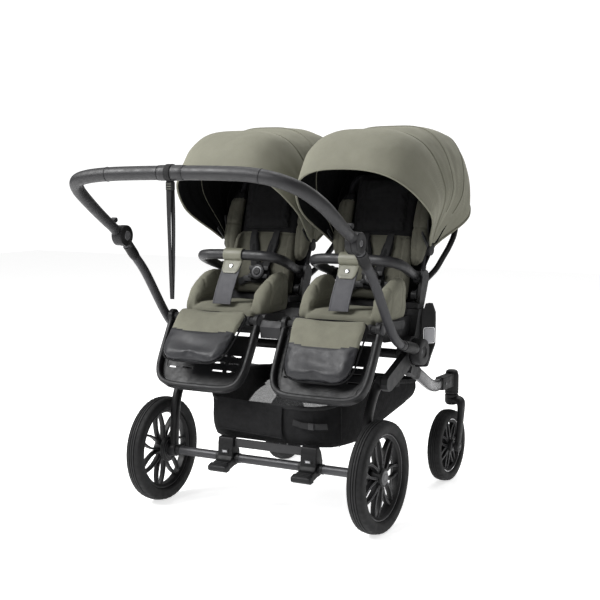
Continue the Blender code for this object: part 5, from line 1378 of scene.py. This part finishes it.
for t0 in (0.005, 0.375):
    pts.append([board.verts.new(B(u, t0, n)) for u, n in ((-0.127, -0.045), (0.127, -0.045), (0.127, -0.0385), (-0.127, -0.0385))])
board.faces.new(pts[0])
board.faces.new(pts[1])
for i in range(4):
    j = (i + 1) % 4
    board.faces.new((pts[0][i], pts[0][j], pts[1][j], pts[1][i]))
merge(bm, board, 2, 0.0030, 3)
for s in (-1, 1):
    for y, z, r, x0, x1 in ((RECLINE_Y, RECLINE_Z, 0.0135, 0.1196, 0.1364), (0.340, 0.720, 0.0125, 0.1225, 0.1364)):
        add_lathe(bm, [(0, x0 * s), (r - 0.001, x0 * s), (r, (x0 + 0.001) * s), (r, (x1 - 0.0014) * s), (r - 0.0014, x1 * s), (0, x1 * s)], P(0, y, z), (1, 0, 0),
                  segments=40, closed=False, mat=2)
frame_look = template(bm, "back_frame_source", ["frame_black", "frame_grey", "plastic_black"])

for side, sx in SIDES:
    X = sx * SEAT_X
    move = Matrix.Translation((X, 0, 0))
    modifier_bevel(f"seat_base_{side}", 0.0022, 3, "plastic_black")
    copy_to(seat_pad, f"seat_pad_{side}", move, f"seat_{side}", f"seat_cushion_{side}", 1)
    main = copy_to(back_pad, f"back_pad_{side}", move, f"back_{side}", f"back_cushion_{side}", 1)
    copy_to(pillow, f"head_pillow_{side}", move, f"back_{side}", None, 1)
    copy_to(wing_pad, f"back_wings_{side}", move, f"back_{side}", None, 1)
    copy_to(seat_shell, f"seat_shell_{side}", move, f"seat_{side}", None, 0, 34)
    frame_piece = copy_to(frame_look, f"back_tubes_{side}", move, f"back_{side}", f"back_frame_{side}", 0, 34)
    copy_to(harness_pad, f"harness_pads_{side}", move, f"back_{side}", f"harness_{side}", 1)
    copy_to(harness_web, f"harness_webbing_{side}", move, f"back_{side}", None, 0, 34)
    copy_to(buckle_shell, f"buckle_shell_{side}", move, f"back_{side}", f"buckle_{side}", 0, 30)
    copy_to(buckle_press, f"buckle_press_{side}", move, f"buckle_button_{side}", f"buckle_button_{side}", 0, 30)
    copy_to(tray_look, f"tray_shell_{side}", knee_matrix(TRAY_ANGLE, X), f"tray_{side}", f"tray_{side}", 0, 34)
    copy_to(calf, f"calf_pad_cover_{side}", knee_matrix(PAD_ANGLE[side], X), f"calf_{side}", f"calf_pad_{side}", 1)
    copy_to(pad_trim, f"calf_pad_piping_{side}", knee_matrix(PAD_ANGLE[side], X), f"calf_{side}", None, 0)
    copy_to(bumper_look, f"bumper_cover_{side}", move, f"bumper_{side}", f"bumper_bar_{side}", 0, 34)
    copy_to(strap_look, f"bumper_strap_band_{side}", move, f"bumper_{side}", f"bumper_strap_{side}", 0, 50)
    copy_to(tab_look, f"bumper_strap_tab_{side}", move, f"bumper_{side}", None, 0, 50)
    copy_to(snap_look, f"bumper_strap_snap_{side}", move, f"bumper_{side}", None, 0, 40)
for source in (seat_pad, back_pad, pillow, wing_pad, seat_shell, calf, pad_trim, harness_pad, harness_web, buckle_shell, buckle_press, tray_look, bumper_look, strap_look, tab_look,
               snap_look, frame_look):
    drop(source)


# ================================================================ canopies
PIVOT_Y, PIVOT_Z = 0.340, 0.720
CX = {-1.0: 0.204, 1.0: 0.191}                # centre of each canopy
W_OUT = {-1.0: 0.1980, 1.0: 0.2110}           # half widths: outer side and inner side
W_IN = {-1.0: 0.1930, 1.0: 0.2010}


def canopy_point(sx, phi, rise, skew, t, offset=0.0, narrow=0.0):
    """Point of a bow: t runs from 0 at the outer foot to 1 at the inner foot."""
    power = 0.56 if sx < 0 and t < 0.5 else 0.61
    low = 0.022
    start = math.asin((low / rise) ** (1 / power))
    a = start + (math.pi - 2 * start) * t
    cosv = math.cos(a)
    r = (rise - offset) * math.sin(a) ** power
    grow = min(1.0, r / 0.185)
    grow = grow * grow * (3 - 2 * grow)
    if cosv >= 0:
        low_w = 0.3400 - CX[sx]
        w = low_w + (W_OUT[sx] - low_w) * grow
    else:
        low_w = CX[sx] - 0.0370
        w = low_w + (W_IN[sx] - low_w) * grow
    w -= offset + narrow
    u = w * math.copysign(abs(cosv) ** power, cosv)
    ang = math.radians(phi + skew * (1 - r / rise) ** 0.5)
    return Vector((sx * (CX[sx] + u), PIVOT_Y + r * math.cos(ang) + AXLE_Y, PIVOT_Z + r * math.sin(ang)))


def curve_at(keys, phi):
    """Smooth value through (angle, value) keys."""
    keys = sorted(keys)
    if phi <= keys[0][0]:
        return keys[0][1]
    if phi >= keys[-1][0]:
        return keys[-1][1]
    for i in range(len(keys) - 1):
        if keys[i][0] <= phi <= keys[i + 1][0]:
            break
    p0 = keys[max(i - 1, 0)]
    p1, p2 = keys[i], keys[i + 1]
    p3 = keys[min(i + 2, len(keys) - 1)]
    t = (phi - p1[0]) / (p2[0] - p1[0])
    m1 = (p2[1] - p0[1]) / (p2[0] - p0[0]) * (p2[0] - p1[0]) if p2[0] != p0[0] else 0
    m2 = (p3[1] - p1[1]) / (p3[0] - p1[0]) * (p2[0] - p1[0]) if p3[0] != p1[0] else 0
    return ((2 * t ** 3 - 3 * t ** 2 + 1) * p1[1] + (t ** 3 - 2 * t ** 2 + t) * m1 + (-2 * t ** 3 + 3 * t ** 2) * p2[1] + (t ** 3 - t ** 2) * m2)


FRONT_RISE = [(139.5, 0.3430), (133.0, 0.3570), (125.0, 0.3680), (117.0, 0.3680), (110.0, 0.3560), (105.0, 0.3400)]
FRONT_SKEW = [(139.5, 4.5), (133.0, 3.0), (125.0, 1.2), (117.0, 0.0), (110.0, -1.5), (105.0, -2.7)]
REAR_RISE = [(104.6, 0.3350), (97.0, 0.3370), (88.0, 0.3430), (76.0, 0.3560), (68.0, 0.3690), (60.0, 0.3790), (50.0, 0.3740), (41.0, 0.3540), (31.0, 0.3080)]
REAR_SKEW = [(104.6, -2.7), (95.0, -1.2), (84.0, 0.0), (31.0, 0.0)]


def shell(sx, angles, rise_keys, skew_keys, seed, folds, columns=72, narrow=0.0):
    """Grid of points of one canopy section, with soft creases that run down to the pivots."""
    grid = []
    lo, hi = min(angles), max(angles)
    for phi in angles:
        row = []
        rise, skew = curve_at(rise_keys, phi), curve_at(skew_keys, phi)
        f = (phi - lo) / (hi - lo)
        inside = math.sin(math.pi * f)
        for k in range(columns + 1):
            t = k / columns
            p = canopy_point(sx, phi, rise, skew, t, 0.0, narrow)
            down = abs(2 * t - 1)
            side_in = max(0.0, (down - 0.30) / 0.70)
            crease = 0.0
            for (f0, width, depth, lean) in folds:
                d = (f - f0 - lean * (1 - down)) / width
                crease += depth * math.exp(-d * d) * side_in * (1.25 - side_in)
            wob = noise.noise(Vector((phi * 0.045 + seed, t * 5.5, seed * 0.7))) * 0.0042 + \
                noise.noise(Vector((phi * 0.13 + seed, t * 13.0, 4.1))) * 0.0014
            centre = Vector((sx * CX[sx], PIVOT_Y + AXLE_Y, PIVOT_Z))
            out = (p - centre).normalized()
            p += out * (crease + wob) * (0.25 + 0.75 * inside)
            row.append(p)
        grid.append(row)
    return grid


def inward(grid, thick):
    """Second surface of a sheet at a distance inside the first one."""
    rows, cols = len(grid), len(grid[0])
    out = []
    for i in range(rows):
        row = []
        for j in range(cols):
            a = grid[min(i + 1, rows - 1)][j] - grid[max(i - 1, 0)][j]
            b = grid[i][min(j + 1, cols - 1)] - grid[i][max(j - 1, 0)]
            n_ = a.cross(b)
            n_ = n_.normalized() if n_.length > 1e-12 else Vector((0, 0, 1))
            row.append((grid[i][j], n_))
        out.append(row)
    mid = out[rows // 2][cols // 2]
    centre = Vector((mid[0].x, PIVOT_Y + AXLE_Y, PIVOT_Z + 0.10))
    sign = 1.0 if mid[1].dot(mid[0] - centre) > 0 else -1.0
    return [[p - n_ * sign * thick for p, n_ in row] for row in out]


def edge_tube(bm, pts, radius, mat=0, across=(0, 1, 0.3)):
    add_sweep(bm, pts, radius, sides=14, across=across, mat=mat, dome=0.8)


for side, sx in SIDES:
    # front section
    angles = [139.5 - 0.35, 138.6] + [138.0 - 1.1 * i for i in range(30)] + [105.0]
    grid = shell(sx, angles, FRONT_RISE, FRONT_SKEW, 1.7 if sx < 0 else 3.3,
                 [(0.30, 0.10, -0.0050, 0.25), (0.52, 0.12, 0.0045, 0.10), (0.72, 0.09, -0.0045, -0.05)])
    bm = bmesh.new()
    grid_sheet(bm, grid, inward(grid, 0.0026), 0, 1, 0)
    front = piece(bm, f"canopy_hood_{side}", ["olive_canopy", "lining"], f"canopy_{side}", f"canopy_front_{side}", sharp=60)
    # bound front edge and seam piping
    bm = bmesh.new()
    edge_tube(bm, grid[0], 0.0030)
    edge_tube(bm, [p + (p - Vector((sx * CX[sx], PIVOT_Y + AXLE_Y, PIVOT_Z))).normalized() * 0.0008 for p in grid[-1]], 0.0026, 0)
    piece(bm, f"canopy_hood_binding_{side}", ["olive_canopy"], f"canopy_{side}", None, sharp=60)

    # rear section, just under the front one at the seam
    angles = [110.0, 108.2, 106.4] + [104.6 - 1.35 * i for i in range(54)] + [31.0]
    grid2 = shell(sx, angles, REAR_RISE, REAR_SKEW, 8.1 if sx < 0 else 5.9,
                  [(0.86, 0.035, -0.0085, 0.02), (0.70, 0.035, 0.0055, 0.06), (0.55, 0.03, -0.0065, 0.10), (0.38, 0.05, 0.0050, 0.10), (0.20, 0.04, -0.0050, 0.06)],
                  narrow=0.0030)
    bm = bmesh.new()
    grid_sheet(bm, grid2, inward(grid2, 0.0026), 0, 1, 0)
    rear = piece(bm, f"canopy_back_{side}", ["olive_canopy", "lining"], f"back_{side}", f"canopy_rear_{side}", sharp=60)
    bm = bmesh.new()
    edge_tube(bm, grid2[-1], 0.0032)
    bows = [i for i, a in enumerate(angles) if abs(a - 62.0) < 0.7 or abs(a - 84.0) < 0.7]
    for i in bows:
        edge_tube(bm, [p + (p - Vector((sx * CX[sx], PIVOT_Y + AXLE_Y, PIVOT_Z))).normalized() * 0.0006 for p in grid2[i][3:-3]], 0.0016)
    # black curtain that closes the space between the backrest's tubes and the canopy
    curtain = []
    mid_row = min(range(len(angles)), key=lambda i: abs(angles[i] - 58.0))
    far_side = inward(grid2, 0.0032)[mid_row]
    cols = len(far_side)
    for i in range(9):
        f = i / 8
        row = []
        for k in range(cols):
            t = k / (cols - 1)
            v = 1 - abs(2 * t - 1)
            s = (1 if t < 0.5 else -1) * sx
            if v < 0.62:
                u, h = 0.1250, 0.070 + 0.285 * v / 0.62
            else:
                g = (v - 0.62) / 0.38
                u, h = 0.1250 * (1 - g), 0.355 + 0.020 * min(1, g * 3)
            a = B(u, h, -0.040)
            a = Vector((sx * SEAT_X + s * a.x, a.y, a.z))
            p = a.lerp(far_side[k], f)
            p += Vector((0, -0.006, -0.004)) * math.sin(math.pi * f) + Vector((0, 1, 0)) * 0.0020 * noise.noise(Vector((t * 30, f * 3, 9.0 + sx)))
            row.append(p)
        curtain.append(row)
    cb = bmesh.new()
    grid_sheet(cb, curtain, [[p + Vector((0, 0.0014, 0.0008)) for p in row] for row in curtain], 0, 0, 0)
    curtain_piece = piece(cb, f"canopy_curtain_{side}", ["lining"], f"back_{side}", None, sharp=60)
    # pivot joint: disc and a short arm out to the fabric
    piece(bm, f"canopy_back_binding_{side}", ["olive_canopy"], f"back_{side}", None, sharp=60)
    bm = bmesh.new()
    for s in (-1, 1):
        base = P(sx * SEAT_X, PIVOT_Y, PIVOT_Z)
        lo = 0.1366
        hi = (0.340 - SEAT_X if s * sx > 0 else SEAT_X - 0.037)
        hi = max(hi, lo + 0.008)
        add_lathe(bm, [(0, lo * s), (0.0150, lo * s), (0.0165, (lo + 0.0012) * s), (0.0165, (hi - 0.0020) * s), (0.0145, hi * s), (0.0070, (hi + 0.0006) * s), (0, (hi + 0.0006) * s)],
                  base, (1, 0, 0), segments=48, closed=False)
        for phi, length in ((139.0, 0.075), (100.0, 0.085), (46.0, 0.080)):
            a = math.radians(phi)
            u = (lo + hi) / 2 * s
            p0 = base + Vector((u, 0, 0))
            p1 = p0 + Vector((s * 0.0030, length * math.cos(a), length * math.sin(a)))
            add_sweep(bm, [p0, p0.lerp(p1, 0.5), p1], [0.0075, 0.0062, 0.0050], [0.0028, 0.0026, 0.0022], sides=16, across=(0, -math.sin(a), math.cos(a)), square=0.6)
    piece(bm, f"canopy_joint_{side}", ["plastic_black"], f"back_{side}", None, sharp=34)

# ================================================================ basket
def interp(x, xs, ys):
    return float(np.interp(x, xs, ys))


def basket_rim(y):
    return interp(y, [0.0, 0.03, 0.10, 0.25, 0.36, 0.455], [0.306, 0.314, 0.330, 0.352, 0.338, 0.332])


def basket_low(y):
    return interp(y, [0.0, 0.02, 0.05, 0.17, 0.223, 0.34, 0.47], [0.204, 0.193, 0.190, 0.193, 0.223, 0.258, 0.290])


def half_width(y):
    return 0.1980 + 0.0835 * min(1.0, max(0.0, y / 0.455))


AROUND, DEEP = 120, 22
rows = []
for k in range(DEEP + 1):
    d = k / DEEP
    row = []
    wall = min(1.0, d / 0.62)
    floor_part = max(0.0, (d - 0.62) / 0.38)
    for j in range(AROUND):
        t = 2 * math.pi * j / AROUND
        c_, s_ = math.cos(t), math.sin(t)
        hx, hy = 1.0, 0.2265
        bulge = 1.0 + 0.012 * math.sin(math.pi * wall) - 0.055 * wall ** 3
        scale_ = bulge * (1 - floor_part ** 1.15 * 0.995)
        px = hx * math.copysign(abs(c_) ** (2 / 6.5), c_) * scale_
        py = 0.2275 + hy * math.copysign(abs(s_) ** (2 / 6.5), s_) * scale_
        px *= half_width(py)
        y_wall = 0.2275 + hy * math.copysign(abs(s_) ** (2 / 6.5), s_)
        rim_z, low_z = basket_rim(y_wall), basket_low(y_wall)
        z = rim_z + (low_z + 0.006 - rim_z) * wall ** 0.92
        if floor_part > 0:
            z = basket_low(py) + 0.006 * (1 - floor_part) - 0.0035 * math.sin(math.pi * min(1, floor_part)) + 0.0015
        sag = 0.0040 * noise.noise(Vector((px * 9, py * 9, z * 12))) + 0.0018 * noise.noise(Vector((px * 26, py * 26, z * 20)))
        edge_keep = min(1.0, d / 0.12)
        nx, ny = c_, s_
        row.append(P(px + nx * sag * edge_keep, py + ny * sag * edge_keep, z + (0.5 * sag if floor_part > 0 else 0)))
    rows.append(row)
bm = bmesh.new()
outer = [[bm.verts.new(p) for p in row] for row in rows]
middle = P(0, 0.2275, 0.1)


def shrink(p, row_i):
    q = Vector((p.x, p.y, p.z))
    c_ = Vector((0, 0.2275 + AXLE_Y, p.z))
    dvec = c_ - q
    step = 0.0022 / max(dvec.length, 1e-3)
    return q + dvec * min(step, 0.2) + Vector((0, 0, 0.0018 if row_i > DEEP * 0.6 else 0))


inner = [[bm.verts.new(shrink(p, i)) for p in row] for i, row in enumerate(rows)]
add_faces(bm, outer, caps=False, mat=0)
add_faces(bm, inner, caps=False, mat=0)
bm.faces.new(outer[-1])
bm.faces.new(inner[-1])
for j in range(AROUND):
    m = (j + 1) % AROUND
    bm.faces.new((outer[0][j], outer[0][m], inner[0][m], inner[0][j]))
basket = piece(bm, "basket_cloth", ["black_fabric", "mesh_grey"], "chassis", "basket", sharp=70)
for poly in basket.data.polygons:
    # light mesh in the sloping floor, seen from above
    y_here = poly.center.y - AXLE_Y
    poly.material_index = 1 if poly.center.z < basket_low(y_here) + 0.013 and 0.165 < y_here < 0.425 and abs(poly.center.x) < half_width(y_here) - 0.030 else 0

bm = bmesh.new()
# bound rim
ring = [p for p in rows[0]]
rings = []
for i, p in enumerate(ring):
    tangent = (ring[(i + 1) % AROUND] - ring[i - 1]).normalized()
    side_ = tangent.cross(Vector((0, 0, 1))).normalized()
    up = side_.cross(tangent)
    rings.append([bm.verts.new(p + side_ * 0.0032 * math.cos(a) + up * 0.0058 * math.sin(a)) for a in [2 * math.pi * q / 12 for q in range(12)]])
add_faces(bm, rings, caps=False, loop=True)
# seams down the corners
for j in (8, 52, 68, 112):
    add_sweep(bm, [rows[i][j] + (rows[i][j] - middle).normalized() * 0.0005 for i in range(1, 15)], 0.0013, sides=8, across=(0, 1, 0.2))
piece(bm, "basket_binding", ["webbing"], "chassis", None, sharp=60)

# rear flap: a doubled panel over the back wall with a straight hem, and a loop of webbing
bm = bmesh.new()
flap = []
for i in range(0, 12):
    z = 0.312 - 0.086 * i / 11
    row = []
    for j in range(0, 25):
        x = -0.150 + 0.205 * j / 24
        y = -0.0030 - 0.0045 * math.sin(math.pi * i / 11 * 0.9) + 0.0012 * noise.noise(Vector((x * 20, z * 20, 2.0)))
        row.append(P(x, y, z - 0.010 * (j / 24 - 0.5)))
    flap.append(row)
grid_sheet(bm, flap, [[p + Vector((0, 0.0018, 0)) for p in row] for row in flap], 0, 0, 0)
edge = [p + Vector((0, -0.0008, 0)) for p in flap[-1]]
add_sweep(bm, edge, 0.0018, 0.0022, sides=10, across=(0, 1, 0))
flap_piece = piece(bm, "basket_flap", ["black_fabric"], "chassis", None, sharp=60)
bm = bmesh.new()
add_strap(bm, smooth_path([P(0.090, -0.0060, 0.268), P(0.125, -0.0070, 0.262), P(0.165, -0.0068, 0.263), P(0.195, -0.0050, 0.266)], 6), 0.0160, 0.0018, (0, -1, 0))
add_box(bm, P(0.139, -0.0115, 0.2535), P(0.1560, -0.0065, 0.2715), mat=1, bevel=0.0014)
piece(bm, "basket_webbing", ["webbing", "plastic_soft"], "chassis", None, sharp=40)
for s in (-1, 1):
    bm = bmesh.new()
    route = smooth_path([P(s * 0.2925, 0.234, 0.420), P(s * 0.2920, 0.234, 0.395), P(s * 0.2895, 0.233, 0.370), P(s * 0.2870, 0.232, 0.345)], 5)
    add_strap(bm, route, 0.0230, 0.0022, (s, 0, 0))
    add_box(bm, P(s * 0.2895 - 0.004, 0.219, 0.372), P(s * 0.2895 + 0.004, 0.249, 0.392), mat=1, bevel=0.0018)
    piece(bm, f"basket_hanger_{'left' if s < 0 else 'right'}", ["webbing", "plastic_grey"], "chassis", None, sharp=40)

# ================================================================ stage, light and camera
scene = bpy.context.scene
scene.view_settings.view_transform = "Standard"
scene.view_settings.look = "None"
scene.view_settings.exposure = 0.0

bm = bmesh.new()
size, cuts = 16.0, 24
grid_v = [[bm.verts.new((-size / 2 + size * i / cuts, -size / 2 + size * j / cuts, 0.0)) for j in range(cuts + 1)] for i in range(cuts + 1)]
for i in range(cuts):
    for j in range(cuts):
        bm.faces.new((grid_v[i][j], grid_v[i + 1][j], grid_v[i + 1][j + 1], grid_v[i][j + 1]))
mesh = bpy.data.meshes.new("floor")
bm.to_mesh(mesh)
bm.free()
floor = bpy.data.objects.new("floor", mesh)
scene.collection.objects.link(floor)
mesh.materials.append(surface("floor_white", (0.90, 0.90, 0.90), 0.75, spec=0.2, vary=0.004, tint=(0.905, 0.905, 0.905)))
glow = mesh.materials[0].node_tree.nodes["Principled BSDF"]
glow.inputs["Emission Color"].default_value = (1, 1, 1, 1)
glow.inputs["Emission Strength"].default_value = 0.69

world = bpy.data.worlds.new("studio")
scene.world = world
world.use_nodes = True
t = world.node_tree
back_node = t.nodes["Background"]
path = t.nodes.new("ShaderNodeLightPath")
mixer = t.nodes.new("ShaderNodeMapRange")
mixer.inputs[3].default_value, mixer.inputs[4].default_value = 0.285, 1.15
t.links.new(path.outputs["Is Camera Ray"], mixer.inputs[0])
t.links.new(mixer.outputs[0], back_node.inputs["Strength"])
back_node.inputs["Color"].default_value = (1, 1, 1, 1)


def area_light(name, where, target, size_x, size_y, power):
    data = bpy.data.lights.new(name, "AREA")
    data.shape = "RECTANGLE"
    data.size, data.size_y = size_x, size_y
    data.energy = power
    lamp = bpy.data.objects.new(name, data)
    scene.collection.objects.link(lamp)
    lamp.location = where
    lamp.rotation_euler = (Vector(target) - Vector(where)).to_track_quat("-Z", "Y").to_euler()
    return lamp


area_light("key", (-2.0, -2.3, 3.0), (0.0, 0.0, 0.75), 2.2, 1.8, 205)
area_light("top", (-0.4, 0.6, 3.6), (0.0, 0.1, 0.6), 2.4, 2.0, 52)
area_light("fill_right", (3.2, -1.2, 1.5), (0.0, 0.1, 0.6), 1.6, 2.0, 8)
area_light("rim", (0.6, 3.0, 2.6), (0.0, 0.2, 0.7), 2.6, 1.6, 25)

az, el = math.radians(29.4136), math.radians(6.1149)
toward = Vector((math.sin(az) * math.cos(el), -math.cos(az) * math.cos(el), math.sin(el)))
data = bpy.data.cameras.new("photo")
data.lens = 1231.558 / 600 * 36
data.sensor_width = 36
data.clip_start, data.clip_end = 0.05, 60
camera = bpy.data.objects.new("photo", data)
camera.location = (1.70302205, -2.82780299 + AXLE_Y, 0.94627584)
camera.rotation_mode = "QUATERNION"
camera.rotation_quaternion = toward.to_track_quat("Z", "Y")
scene.collection.objects.link(camera)
scene.camera = camera
